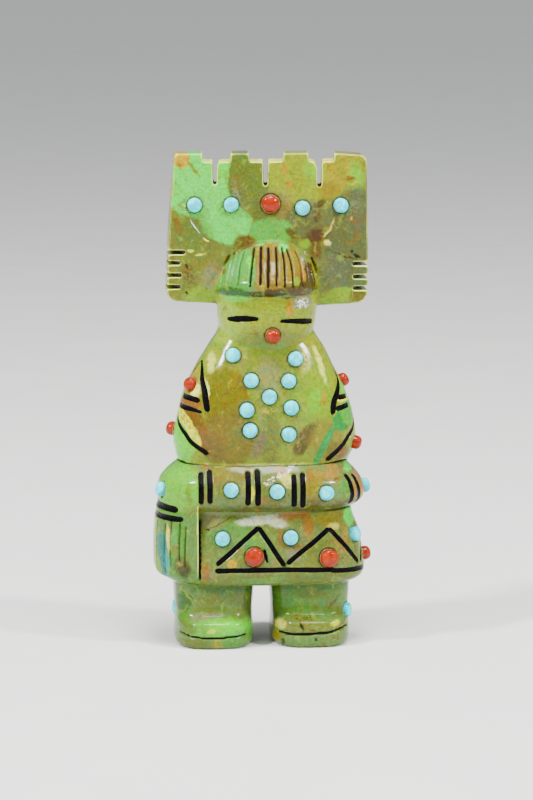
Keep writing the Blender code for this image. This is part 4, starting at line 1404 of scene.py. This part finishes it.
@dataclass(frozen=True)
class StoneFinish:
    """The polished green stone: its natural clouds, then each zone's own patches, chalky step
    floors, a painted highlight on raised edges, and grime with painted shade in the lines.

    A layer is a cloud's scale, where it starts and is full, and its colour. A drift is a
    cloud's shift and scale, where it starts and is full, how much of it shows, and its colour.
    """

    shift: Vector
    smears: tuple[Patch, ...]
    zones: tuple[Zone, ...] = (
        HEADDRESS_ZONE, HAIR_ZONE, FACE_ZONE, TORSO_ZONE, BELT_ZONE, SKIRT_ZONE, SASH_ZONE,
        LEG_ZONE)
    # A painted highlight on raised edges, then the near-black of grime and painted shade in the
    # lines and slot feet.
    painted_edge_highlight: Colour = (0.6, 0.72, 0.1, 1.0)
    groove_dirt_and_shade: Colour = (0.007, 0.004, 0.002, 1.0)
    own_clouds: float = 0.08
    edge_highlight_span: Place = (0.14, 0.36)
    edge_highlight_share: float = 0.75
    groove_span: Place = (0.1, 0.8)
    groove_share: float = 0.96
    polish: Place = (0.08, 0.17)
    dullness: float = 0.75
    sheen_level: float = 0.2
    relief: float = 0.00004
    vein_scale: float = 0.17
    pit_scale: float = 1.1
    layers: tuple[tuple[float, float, float, Colour], ...] = (
        (0.12, 0.53, 0.6, OLIVE), (0.17, 0.58, 0.66, OCHRE),
        (0.25, 0.64, 0.72, RUST), (0.31, 0.67, 0.74, CREAM))
    drifts: tuple[tuple[float, float, float, float, float, Colour], ...] = (
        (0.0, 0.45, 0.54, 0.68, 0.35, BRONZE), (40.0, 0.9, 0.56, 0.68, 0.3, GREY_OLIVE),
        (80.0, 0.7, 0.56, 0.68, 0.35, PALE_GREEN), (120.0, 1.6, 0.6, 0.7, 0.5, DARK_OLIVE))
    warm: Way = (1.12, 1.0, 0.74)
    cool: Way = (0.86, 1.02, 1.2)

    def material(self) -> bpy.types.Material:
        """Mixes the finish.

        Returns:
            The material.
        """
        mix = Recipe(Slot.STONE.value)
        place = mix.place(self.shift)
        clouds = ((mix.noise(place, 0.2, 3.0, 0.55), 1.6), (mix.noise(place, 1.2, 4.0, 0.65), 0.9))
        ragged = self.warped(mix, place, clouds)
        patched, share = self.patched(mix, place, ragged)
        colour = mix.mix(share, self.natural(mix, ragged), patched)
        colour = self.flecked(mix, colour, place)
        groove, rim, chalk = (mix.attribute(name) for name in ("groove", "rim", "chalk"))
        # Painted highlight: raised edges, where the mesh bulges, turn a pale lime.
        colour = mix.mix(mix.step(rim, *self.edge_highlight_span, 0.0, self.edge_highlight_share), colour, self.painted_edge_highlight)
        powder = mix.noise(place, 1.0, 4.0, 0.6)[0]
        chalky = mix.sum("MULTIPLY", chalk, mix.step(powder, 0.35, 0.6, 0.35, 0.95))
        colour = mix.mix(chalky, colour, SAND)
        # The lines darken towards near-black for grime and painted shade, and the feet of the slots
        # for painted shade.
        dirt_and_shade_share = mix.step(groove, *self.groove_span, 0.0, self.groove_share)
        colour = mix.mix(dirt_and_shade_share, colour, self.groove_dirt_and_shade)
        mottle = mix.noise(place, 1.5, 5.0, 0.65)[0]
        dull = mix.step(mix.sum("MAXIMUM", groove, chalk), 0.1, 0.7)
        rough = mix.sum("ADD", mix.step(mottle, 0.3, 0.7, *self.polish),
                        mix.sum("MULTIPLY", dull, self.dullness))
        relief = mix.sum("ADD", mix.sum("MULTIPLY", mottle, 0.3), mix.noise(place, 0.5)[0])
        return mix.feed(Base_Color=colour, Roughness=rough, Normal=mix.bump(relief, self.relief),
                        Specular_IOR_Level=self.sheen_level)

    def patched(self, mix: Recipe, place: Socket, ragged: Socket) -> tuple[Socket, Socket]:
        """Lays each zone's patches on its ground, and the smears over them all.

        Args:
            mix: the recipe.
            place: the plain place.
            ragged: the warped place.

        Returns:
            The colour, and how much of it shows over the stone's own clouds.
        """
        axes = mix.add("SeparateXYZ", {0: place}).outputs
        speckle = mix.step(mix.noise(place, 2.4, 5.0, 0.7)[0], 0.47, 0.57)
        colour, whole = PITCH, 0.0
        for zone in self.zones:
            inside = zone.ground
            for patch in zone.patches:
                share = self.share_of(mix, ragged, patch)
                if patch.speckled:
                    share = mix.sum("MULTIPLY", share, speckle)
                inside = mix.mix(share, inside, patch.colour)
            bounds = [mix.step(axes[axis], out, into) for axis, out, into in zone.bounds]
            share = bounds[0]
            for bound in bounds[1:]:
                share = mix.sum("MULTIPLY", share, bound)
            colour = mix.mix(share, colour, inside)
            whole = mix.sum("MAXIMUM", whole, share)
        for smear in self.smears:
            share = mix.sum("MULTIPLY", self.share_of(mix, ragged, smear), speckle)
            colour = mix.mix(share, colour, smear.colour)
        return colour, mix.sum("MULTIPLY", whole, 1 - self.own_clouds)

    @staticmethod
    def warped(mix: Recipe, place: Socket,
               clouds: tuple[tuple[list[Socket], float], ...]) -> Socket:
        """Pushes a place about by clouds.

        Args:
            mix: the recipe.
            place: the place.
            clouds: each cloud, and twice how far it pushes at most, in millimetres.

        Returns:
            The moved place.
        """
        for (_, colour), reach in clouds:
            centred = mix.vector("SUBTRACT", colour, (0.5, 0.5, 0.5))
            place = mix.vector("ADD", place, mix.vector("SCALE", centred, reach))
        return place

    @staticmethod
    def share_of(mix: Recipe, ragged: Socket, patch: Patch) -> Socket:
        """How much of a patch shows at each place, whatever its depth in the stone.

        Args:
            mix: the recipe.
            ragged: the warped place.
            patch: the patch.

        Returns:
            The share.
        """
        if patch.turn == 0:
            scale = (1 / patch.half_width, 0.0, 1 / patch.half_height)
            middle = (-patch.x * scale[0], 0.0, -patch.z * scale[2])
            away = mix.vector("LENGTH", mix.vector("MULTIPLY_ADD", ragged, scale, middle))
            return mix.step(away, 1 - patch.soft, 1 + patch.soft, patch.strength, 0.0)
        lean, lift = math.sin(math.radians(patch.turn)), math.cos(math.radians(patch.turn))
        centred = mix.vector("SUBTRACT", ragged, (patch.x, 0.0, patch.z))
        across, up = (
            mix.vector("DOT_PRODUCT", centred, way)
            for way in ((lift / patch.half_width, 0.0, -lean / patch.half_width),
                        (lean / patch.half_height, 0.0, lift / patch.half_height)))
        away = mix.sum("MULTIPLY_ADD", across, across, mix.sum("MULTIPLY", up, up))
        return mix.step(away, (1 - patch.soft) ** 2, (1 + patch.soft) ** 2, patch.strength, 0.0)

    def natural(self, mix: Recipe, ragged: Socket) -> Socket:
        """The stone's own clouds: broad greens, with olive, ochre, rust and cream in places.

        Args:
            mix: the recipe.
            ragged: the warped place.

        Returns:
            The colour.
        """
        broad = mix.noise(ragged, 0.09, 3.0, 0.5, 0.8)[0]
        colour = mix.mix(mix.step(broad, 0.47, 0.53), LIME, MID_GREEN)
        for scale, low, high, over in self.layers:
            shifted = mix.vector("ADD", ragged, (scale * 90, scale * 40, 7.0))
            cloud = mix.noise(shifted, scale, 3.0, 0.55, 1.0)[0]
            colour = mix.mix(mix.step(cloud, low, high, 0.0, 0.85), colour, over)
        return colour

    def flecked(self, mix: Recipe, colour: Socket, place: Socket) -> Socket:
        """Adds fine drifts of tone and tint, hair veins and small dark pits.

        Args:
            mix: the recipe.
            colour: the colour so far.
            place: the plain place.

        Returns:
            The colour.
        """
        for shift, scale, low, high, most, over in self.drifts:
            moved = mix.vector("ADD", place, (shift, 0.0, shift))
            cloud = mix.noise(moved, scale, 5.0, 0.62, 0.6)[0]
            colour = mix.mix(mix.step(cloud, low, high, 0.0, most), colour, over)
        tint = mix.step(mix.noise(place, 0.8, 4.0, 0.6)[0], 0.36, 0.64)
        tinted = mix.mix(tint, self.warm + (1.0,), self.cool + (1.0,))
        colour = mix.vector("MULTIPLY", colour, tinted)
        tone = mix.step(mix.noise(place, 1.9, 6.0, 0.7)[0], 0.3, 0.7, 0.68, 1.08)
        colour = mix.vector("SCALE", colour, tone)
        bent = self.warped(mix, place, ((mix.noise(place, 0.5, 4.0, 0.6), 3.0),))
        cells = mix.add("TexVoronoi", {"Vector": bent, "Scale": self.vein_scale},
                        feature="DISTANCE_TO_EDGE").outputs["Distance"]
        shown = mix.step(mix.noise(place, 0.15, 2.0)[0], 0.52, 0.6)
        vein = mix.sum("MULTIPLY", mix.step(cells, 0.004, 0.022, 0.7, 0.0), shown)
        colour = mix.mix(vein, colour, RUST)
        dots = mix.add("TexVoronoi", {"Vector": place, "Scale": self.pit_scale}).outputs["Distance"]
        pitted = mix.noise(place, 0.3, 3.0, 0.6)[0]
        pits = mix.sum("MULTIPLY", mix.step(dots, 0.06, 0.17, 0.85, 0.0),
                       mix.step(pitted, 0.58, 0.64))
        return mix.mix(pits, colour, PITCH)


@dataclass(frozen=True)
class GemFinish:
    """The finish of a cabochon: a body colour, a paler bloom, and a darker colour for its veins and
    its foot, the foot partly its own darker rim and partly painted shade.
    """

    name: str
    body: Colour
    bloom: Colour
    shade: Colour
    roughness: float
    coat: float
    coat_roughness: float = 0.05
    sheen_level: float = 0.16
    relief: float = 0.00003

    def material(self) -> bpy.types.Material:
        """Mixes the finish.

        Returns:
            The material.
        """
        mix = Recipe(self.name)
        place = mix.place(Vector())
        cloud = mix.noise(place, 0.9, 4.0, 0.65, 0.4)[0]
        colour = mix.mix(mix.step(cloud, 0.4, 0.66), self.body, self.bloom)
        vein = mix.noise(place, 2.3, 3.0, 0.6, 1.5)[0]
        colour = mix.mix(mix.step(vein, 0.58, 0.72, 0.0, 0.55), colour, self.shade)
        height = mix.attribute("height")
        # Darker towards the foot: partly the cabochon's own darker rim, partly painted shade.
        colour = mix.mix(mix.step(height, 0.0, 0.3, 0.35, 0.0), colour, self.shade)
        normal = mix.bump(mix.noise(place, 1.5, 2.0)[0], self.relief)
        return mix.feed(Base_Color=colour, Roughness=self.roughness, Normal=normal,
                        Coat_Weight=self.coat, Coat_Roughness=self.coat_roughness,
                        Specular_IOR_Level=self.sheen_level)


@dataclass(frozen=True)
class InkFinish:
    """The glossy black fill of the engraved lines, a little dusty in places."""

    black: Colour = (0.002, 0.0015, 0.002, 1.0)
    dust: Colour = (0.02, 0.016, 0.02, 1.0)
    polish: Place = (0.18, 0.45)
    sheen_level: float = 0.04
    relief: float = 0.00012

    def material(self) -> bpy.types.Material:
        """Mixes the finish.

        Returns:
            The material.
        """
        mix = Recipe(Slot.INK.value)
        place = mix.place(Vector())
        cloud = mix.noise(place, 1.4, 5.0, 0.7)[0]
        colour = mix.mix(mix.step(cloud, 0.6, 0.78, 0.0, 0.6), self.black, self.dust)
        rough = mix.step(cloud, 0.35, 0.7, *self.polish)
        normal = mix.bump(mix.noise(place, 2.2, 4.0, 0.6)[0], self.relief)
        return mix.feed(Base_Color=colour, Roughness=rough, Normal=normal,
                        Specular_IOR_Level=self.sheen_level)


@dataclass(frozen=True)
class GlueFinish:
    """The thin brown glue round each cabochon."""

    brown: Colour = (0.17, 0.17, 0.07, 1.0)
    clear: Colour = (0.34, 0.34, 0.18, 1.0)
    polish: Place = (0.2, 0.4)

    def material(self) -> bpy.types.Material:
        """Mixes the finish.

        Returns:
            The material.
        """
        mix = Recipe(Slot.GLUE.value)
        cloud = mix.noise(mix.place(Vector()), 1.3, 3.0, 0.6)[0]
        colour = mix.mix(mix.step(cloud, 0.35, 0.65), self.brown, self.clear)
        return mix.feed(Base_Color=colour, Roughness=mix.step(cloud, 0.3, 0.7, *self.polish))


@dataclass
class Workshop:
    """Puts finished pieces into the frame of the solids."""

    shift: Vector

    def hand_over(self, piece: Thing, slot: Slot, finish: bpy.types.Material,
                  replaced: tuple[str, ...] = ()) -> Thing:
        """Args:
            piece: the piece, in millimetres of the carving frame.
            slot: the record's slot of its finish; not used.
            finish: its material.
            replaced: the solids that it stands for.

        Returns:
            The piece.
        """
        piece.data.transform(Matrix.Translation(self.shift) @ Matrix.Scale(MM, 4))
        piece.data.materials.clear()
        piece.data.materials.append(finish)
        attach(piece, BODY)
        if replaced:
            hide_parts(*replaced)
        LOG.info("%s: %d faces", piece.name, len(piece.data.polygons))
        return piece


@dataclass(frozen=True)
class InkFill:
    """The black fill that lies in the engraved lines, a little under their rims."""

    ribs: int = 7
    tuck: float = 0.03
    edge_sink: float = 0.03
    middle_sink: float = 0.1
    floor_sink: float = 0.34

    def model(self, name: str, paths: list[Path], tree: BVHTree) -> Thing:
        """Makes one piece from the ribbons that fill a group of lines.

        Args:
            name: the piece's name.
            paths: the lines' paths.
            tree: the surface that they lie on.

        Returns:
            The piece.
        """
        shape = bmesh.new()
        for path in paths:
            self.ribbon(shape, path, tree)
        bmesh.ops.recalc_face_normals(shape, faces=shape.faces)
        mesh = bpy.data.meshes.new(name)
        shape.to_mesh(mesh)
        shape.free()
        piece = bpy.data.objects.new(name, mesh)
        bpy.context.scene.collection.objects.link(piece)
        take(piece)
        bpy.ops.object.shade_smooth_by_angle(angle=math.radians(50))
        return piece

    def ribbon(self, shape: bmesh.types.BMesh, path: Path, tree: BVHTree) -> None:
        """Adds one closed ribbon, whose top follows the surface.

        Args:
            shape: the mesh that it joins.
            path: the line's path.
            tree: the surface.
        """
        across = np.cross(path.facings, path.ahead)
        loops = []
        for place, side, half in zip(path.places, across, path.halves):
            top, floor = [], []
            for rib in range(self.ribs):
                lean = 2 * rib / (self.ribs - 1) - 1
                beside = place + side * lean * (half + self.tuck)
                spot, facing, _, _ = tree.find_nearest(Vector(beside))
                sink = self.middle_sink + (self.edge_sink - self.middle_sink) * lean * lean
                top.append(shape.verts.new(spot - facing * sink))
                floor.append(shape.verts.new(spot - facing * self.floor_sink))
            loops.append(top + floor[::-1])
        for near, far in zip(loops, loops[1:]):
            for i in range(len(near)):
                j = (i + 1) % len(near)
                shape.faces.new((near[i], near[j], far[j], far[i]))
        shape.faces.new(loops[0])
        shape.faces.new(loops[-1][::-1])


@dataclass(frozen=True)
class CabochonWork:
    """Grinds the round cabochons and lays the glue about them."""

    segments: int = 40
    rings: int = 20
    dome_power: float = 2.5
    wall: float = 0.3
    foot: float = 0.5
    foot_spread: float = 1.3
    unround: float = 0.06
    unround_scale: float = 0.7
    fit: float = 0.985
    ring_width: float = 0.04

    def cabochon(self, setting: Setting) -> Thing:
        """Grinds one cabochon from a ball: a low wall under a high dome.

        Args:
            setting: where and how large it is.

        Returns:
            The cabochon.
        """
        clear_selection()
        bpy.ops.mesh.primitive_uv_sphere_add(
            segments=self.segments, ring_count=self.rings, radius=1.0)
        stone = bpy.context.active_object
        stone.name = setting.name + "_stone"
        ball = points_of(stone.data)
        out = np.linalg.norm(ball[:, :2], axis=1)
        lift = np.arcsin(np.clip(ball[:, 2], -1, 1))
        ring = squared(np.cos(lift), self.dome_power)
        crown = squared(np.sin(lift), self.dome_power)
        outward = ball[:, :2] / np.maximum(out, 1e-9)[:, None]
        dome = setting.rise - self.wall
        upper = ball[:, 2] >= 0
        z = np.where(upper, self.wall + dome * crown, -self.foot)
        width = np.where(upper, ring, np.minimum(ring * self.foot_spread, 1.0))
        width = width * setting.radius * self.fit
        seed = Vector(setting.place)
        wave = np.array([noise.noise(seed + Vector(way)) for way in ball * self.unround_scale])
        width = width * (1 + self.unround * wave)
        z = np.where(upper, z * (1 + self.unround * wave), z)
        shaped = np.column_stack((outward * width[:, None], z))
        layer = stone.data.attributes.new("height", "FLOAT", "POINT")
        layer.data.foreach_set("value", (z / setting.rise).astype(np.float32))
        set_points(stone.data, self.stood(shaped, setting))
        take(stone)
        bpy.ops.object.shade_smooth_by_angle(angle=math.radians(60))
        return stone

    def glue(self, setting: Setting) -> Thing:
        """Lays a thin ring of glue between a cabochon and the stone.

        Args:
            setting: the cabochon's setting.

        Returns:
            The ring.
        """
        clear_selection()
        bpy.ops.mesh.primitive_torus_add(
            major_segments=self.segments, minor_segments=8,
            major_radius=setting.radius * self.fit + self.ring_width * 0.3,
            minor_radius=self.ring_width)
        ring = bpy.context.active_object
        sunk = points_of(ring.data) - (0, 0, self.ring_width * 0.6)
        set_points(ring.data, self.stood(sunk, setting))
        bpy.ops.object.shade_smooth()
        return ring

    @staticmethod
    def stood(points: np.ndarray, setting: Setting) -> np.ndarray:
        """Stands points about the Z axis on the setting's place, along its axis."""
        turn = Vector(setting.axis).to_track_quat("Z", "Y").to_matrix()
        return points @ np.array(turn).T + setting.place


def settings_of(nodes: dict[str, Thing], shift: Vector, seat: float) -> list[Setting]:
    """Reads where each cabochon is set from its solid.

    Args:
        nodes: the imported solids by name.
        shift: the carving frame's place in the frame of the solids.
        seat: how deep a cabochon's foot lies under the stone's skin, in millimetres.

    Returns:
        The settings.
    """
    found = []
    for name, node in sorted(nodes.items()):
        if name == "stone_figure":
            continue
        points = (points_of(node.data) - np.array(shift)) / MM
        areas: dict[tuple[float, ...], float] = {}
        for face in node.data.polygons:
            key = tuple(round(part, 3) for part in face.normal)
            areas[key] = areas.get(key, 0.0) + face.area
        axis = -np.array(max(areas, key=areas.get))
        axis /= np.linalg.norm(axis)
        heights = points @ axis
        foot = points[heights < heights.min() + 0.01].mean(0)
        offset = points - foot
        out = np.linalg.norm(offset - np.outer(offset @ axis, axis), axis=1)
        found.append(Setting(name, foot + axis * seat, axis, out.max(),
                             heights.max() - heights.min() - seat, "coral" in name))
    return found


@dataclass(frozen=True)
class Lamp:
    """One soft square lamp: its way from the figure's middle and side in metres, and its watts."""

    name: str
    away: Way
    size: float
    power: float

    def hang(self, centre: Vector) -> None:
        """Hangs the lamp so that it faces the figure.

        Args:
            centre: the figure's middle.
        """
        data = bpy.data.lights.new(self.name, "AREA")
        data.shape = "SQUARE"
        data.size = self.size
        data.energy = self.power
        lamp = bpy.data.objects.new(self.name, data)
        bpy.context.scene.collection.objects.link(lamp)
        lamp.location = centre + Vector(self.away)
        lamp.rotation_euler = Vector(self.away).to_track_quat("Z", "Y").to_euler()


@dataclass(frozen=True)
class Studio:
    """A plain pale floor, soft lights, and a camera at the photograph's angle."""

    aim: Way = (0.2, 0.0, 39.55)
    azimuth: float = -4.0
    elevation: float = 8.0
    distance: float = 600.0
    lens: float = 165.5
    near_limit: float = 0.05
    floor_size: float = 16.0
    paper: Colour = (0.78, 0.77, 0.75, 1.0)
    paper_grain: Colour = (0.76, 0.75, 0.735, 1.0)
    lamps: tuple[Lamp, ...] = (
        Lamp("left", (-0.5, -0.28, 0.48), 0.08, 8.6), Lamp("right", (0.48, -0.3, 0.4), 0.07, 5.6),
        Lamp("above", (0.05, -0.14, 0.62), 0.24, 6.4))
    sun_way: Way = (-0.15, -0.55, 1.0)
    sun_power: float = 1.1
    sun_spread: float = 50.0
    sky_colour: Colour = (0.9, 0.95, 1.0, 1.0)
    sky_strength: float = 0.36

    def build(self, shift: Vector) -> None:
        """Lays the floor, hangs the lights and stands the camera.

        Args:
            shift: the carving frame's place in the frame of the solids.
        """
        centre = shift + Vector(self.aim) * MM
        self.lay_floor()
        for lamp in self.lamps:
            lamp.hang(centre)
        self.light_sky()
        self.stand_camera(centre)

    def lay_floor(self) -> None:
        """Lays the sheet of paper that the figure stands on."""
        clear_selection()
        bpy.ops.mesh.primitive_plane_add(size=self.floor_size)
        floor = bpy.context.active_object
        floor.name = "floor"
        mix = Recipe("floor_paper")
        grain = mix.step(mix.noise(mix.place(Vector()), 0.05, 2.0)[0], 0.3, 0.7)
        tone = mix.mix(grain, self.paper, self.paper_grain)
        floor.data.materials.append(mix.feed(Base_Color=tone, Roughness=0.6))

    def light_sky(self) -> None:
        """Lights the room with a broad soft sun and a pale sky."""
        sun = bpy.data.lights.new("soft_sky_light", "SUN")
        sun.energy = self.sun_power
        sun.angle = math.radians(self.sun_spread)
        sky_light = bpy.data.objects.new("soft_sky_light", sun)
        bpy.context.scene.collection.objects.link(sky_light)
        sky_light.rotation_euler = Vector(self.sun_way).to_track_quat("Z", "Y").to_euler()
        world = bpy.data.worlds.new("soft_room")
        world.use_nodes = True
        sky = world.node_tree.nodes["Background"]
        sky.inputs["Color"].default_value = self.sky_colour
        sky.inputs["Strength"].default_value = self.sky_strength
        bpy.context.scene.world = world

    def stand_camera(self, centre: Vector) -> None:
        """Stands the camera, turned and raised off the figure's front, and aims it.

        Args:
            centre: the place that it looks at.
        """
        data = bpy.data.cameras.new("camera")
        data.lens = self.lens
        data.clip_start = self.near_limit
        camera = bpy.data.objects.new("camera", data)
        bpy.context.scene.collection.objects.link(camera)
        turn, lift = math.radians(self.azimuth), math.radians(self.elevation)
        back = Vector((math.sin(turn) * math.cos(lift), -math.cos(turn) * math.cos(lift),
                       math.sin(lift)))
        camera.location = centre + back * self.distance * MM
        camera.rotation_euler = back.to_track_quat("Z", "Y").to_euler()
        bpy.context.scene.camera = camera


SEAT_FOOT = 0.8
HEADDRESS_CORAL = (0.8, 71.7)
TURQUOISE = GemFinish(
    Slot.TURQUOISE.value, (0.0, 0.5, 0.6, 1.0), (0.002, 0.86, 0.95, 1.0), (0.001, 0.17, 0.27, 1.0),
    roughness=0.2, coat=0.0)
CORAL = GemFinish(
    Slot.CORAL.value, (0.23, 0.011, 0.001, 1.0), (0.33, 0.028, 0.001, 1.0),
    (0.09, 0.004, 0.001, 1.0), roughness=0.09, coat=0.15)
FACING_FRONT = -0.75
SMEARS = ((PUTTY, 0.5, 1.9), (GREY_OLIVE, -0.3, 1.5))
SMEAR_DROP = 0.2
SMEAR_SQUASH = 0.85


def carving_shift() -> Vector:
    """The carving frame's origin in the frame of the solids, in metres.

    Returns:
        The shift, found from the headdress's coral, whose place in the carving frame is known.
    """
    low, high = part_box("headdress_coral")
    x = (low.x + high.x) / 2 - HEADDRESS_CORAL[0] * MM
    y = high.y - (Headdress().front + SEAT_FOOT) * MM
    return Vector((x, y, 0.0))


def smears_of(settings: list[Setting]) -> tuple[Patch, ...]:
    """A pale putty smear of old glue about each cabochon on the front, and a darker grey-olive
    smear leaning to its left, both a little lower than its middle.

    SMEARS gives each one's colour, how far it leans aside and how far it reaches, in radii.

    Args:
        settings: all the settings.

    Returns:
        The smears.
    """
    smears = []
    for setting in settings:
        if setting.axis[1] >= FACING_FRONT:
            continue
        x, _, z = setting.place
        for colour, lean, reach in SMEARS:
            smears.append(Patch(
                colour, x + lean * setting.radius, z - SMEAR_DROP, reach * setting.radius,
                SMEAR_SQUASH * reach * setting.radius, soft=0.4, strength=0.75))
    return tuple(smears)


def main() -> None:
    """Builds every piece around the frame, in order."""
    logging.basicConfig(level=logging.INFO, format="%(message)s")
    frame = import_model()
    shift = carving_shift()
    shop = Workshop(shift)
    engraving = Engraving()
    settings = settings_of(frame["nodes"], shift, SEAT_FOOT)
    carving = StoneFigure(engraving, settings)
    figure = carving.blank()
    surface = Surface(BVHTree.FromObject(figure, bpy.context.evaluated_depsgraph_get()))
    inked = {name: [surface.lay(stroke) for stroke in strokes]
             for name, strokes in engraving.inked().items()}
    # The bulge, which the finish paints as a highlight on raised edges, much weaker on the shaded
    # lower edge of the hair.
    rim = carving.bulge(figure)
    rim[carving.in_fringe(points_of(figure.data))] *= carving.fringe_edge_highlight
    # Chalky step floors, and painted shade at the feet of the slots.
    chalk, painted_slot_shade = carving.headdress.worn(points_of(figure.data), facings_of(figure.data))
    # The bare lines, and how dark each point is painted for grime and painted shade.
    bare, dirt_and_shade = carving.engrave(figure, [surface.lay(stroke) for stroke in engraving.bare()])
    filled, _ = carving.engrave(figure, [path for group in inked.values() for path in group])
    carving.seat(figure)
    carving.keep(figure, groove=np.maximum(dirt_and_shade, painted_slot_shade), rim=rim, chalk=chalk)
    carving.lighten(figure, bare + filled)
    stone = StoneFinish(shift, smears_of(settings)).material()
    shop.hand_over(figure, Slot.STONE, stone, ("stone_figure",))
    ink = InkFinish().material()
    for name, group in inked.items():
        shop.hand_over(InkFill().model(name, group, surface.tree), Slot.INK, ink)
    lapidary = CabochonWork()
    finishes = {True: (Slot.CORAL, CORAL.material()), False: (Slot.TURQUOISE, TURQUOISE.material())}
    rings = []
    for setting in settings:
        shop.hand_over(lapidary.cabochon(setting), *finishes[setting.is_coral], (setting.name,))
        rings.append(lapidary.glue(setting))
    shop.hand_over(join(rings, "setting_glue_rings"), Slot.GLUE, GlueFinish().material())
    Studio().build(shift)


if __name__ == "__main__":
    main()
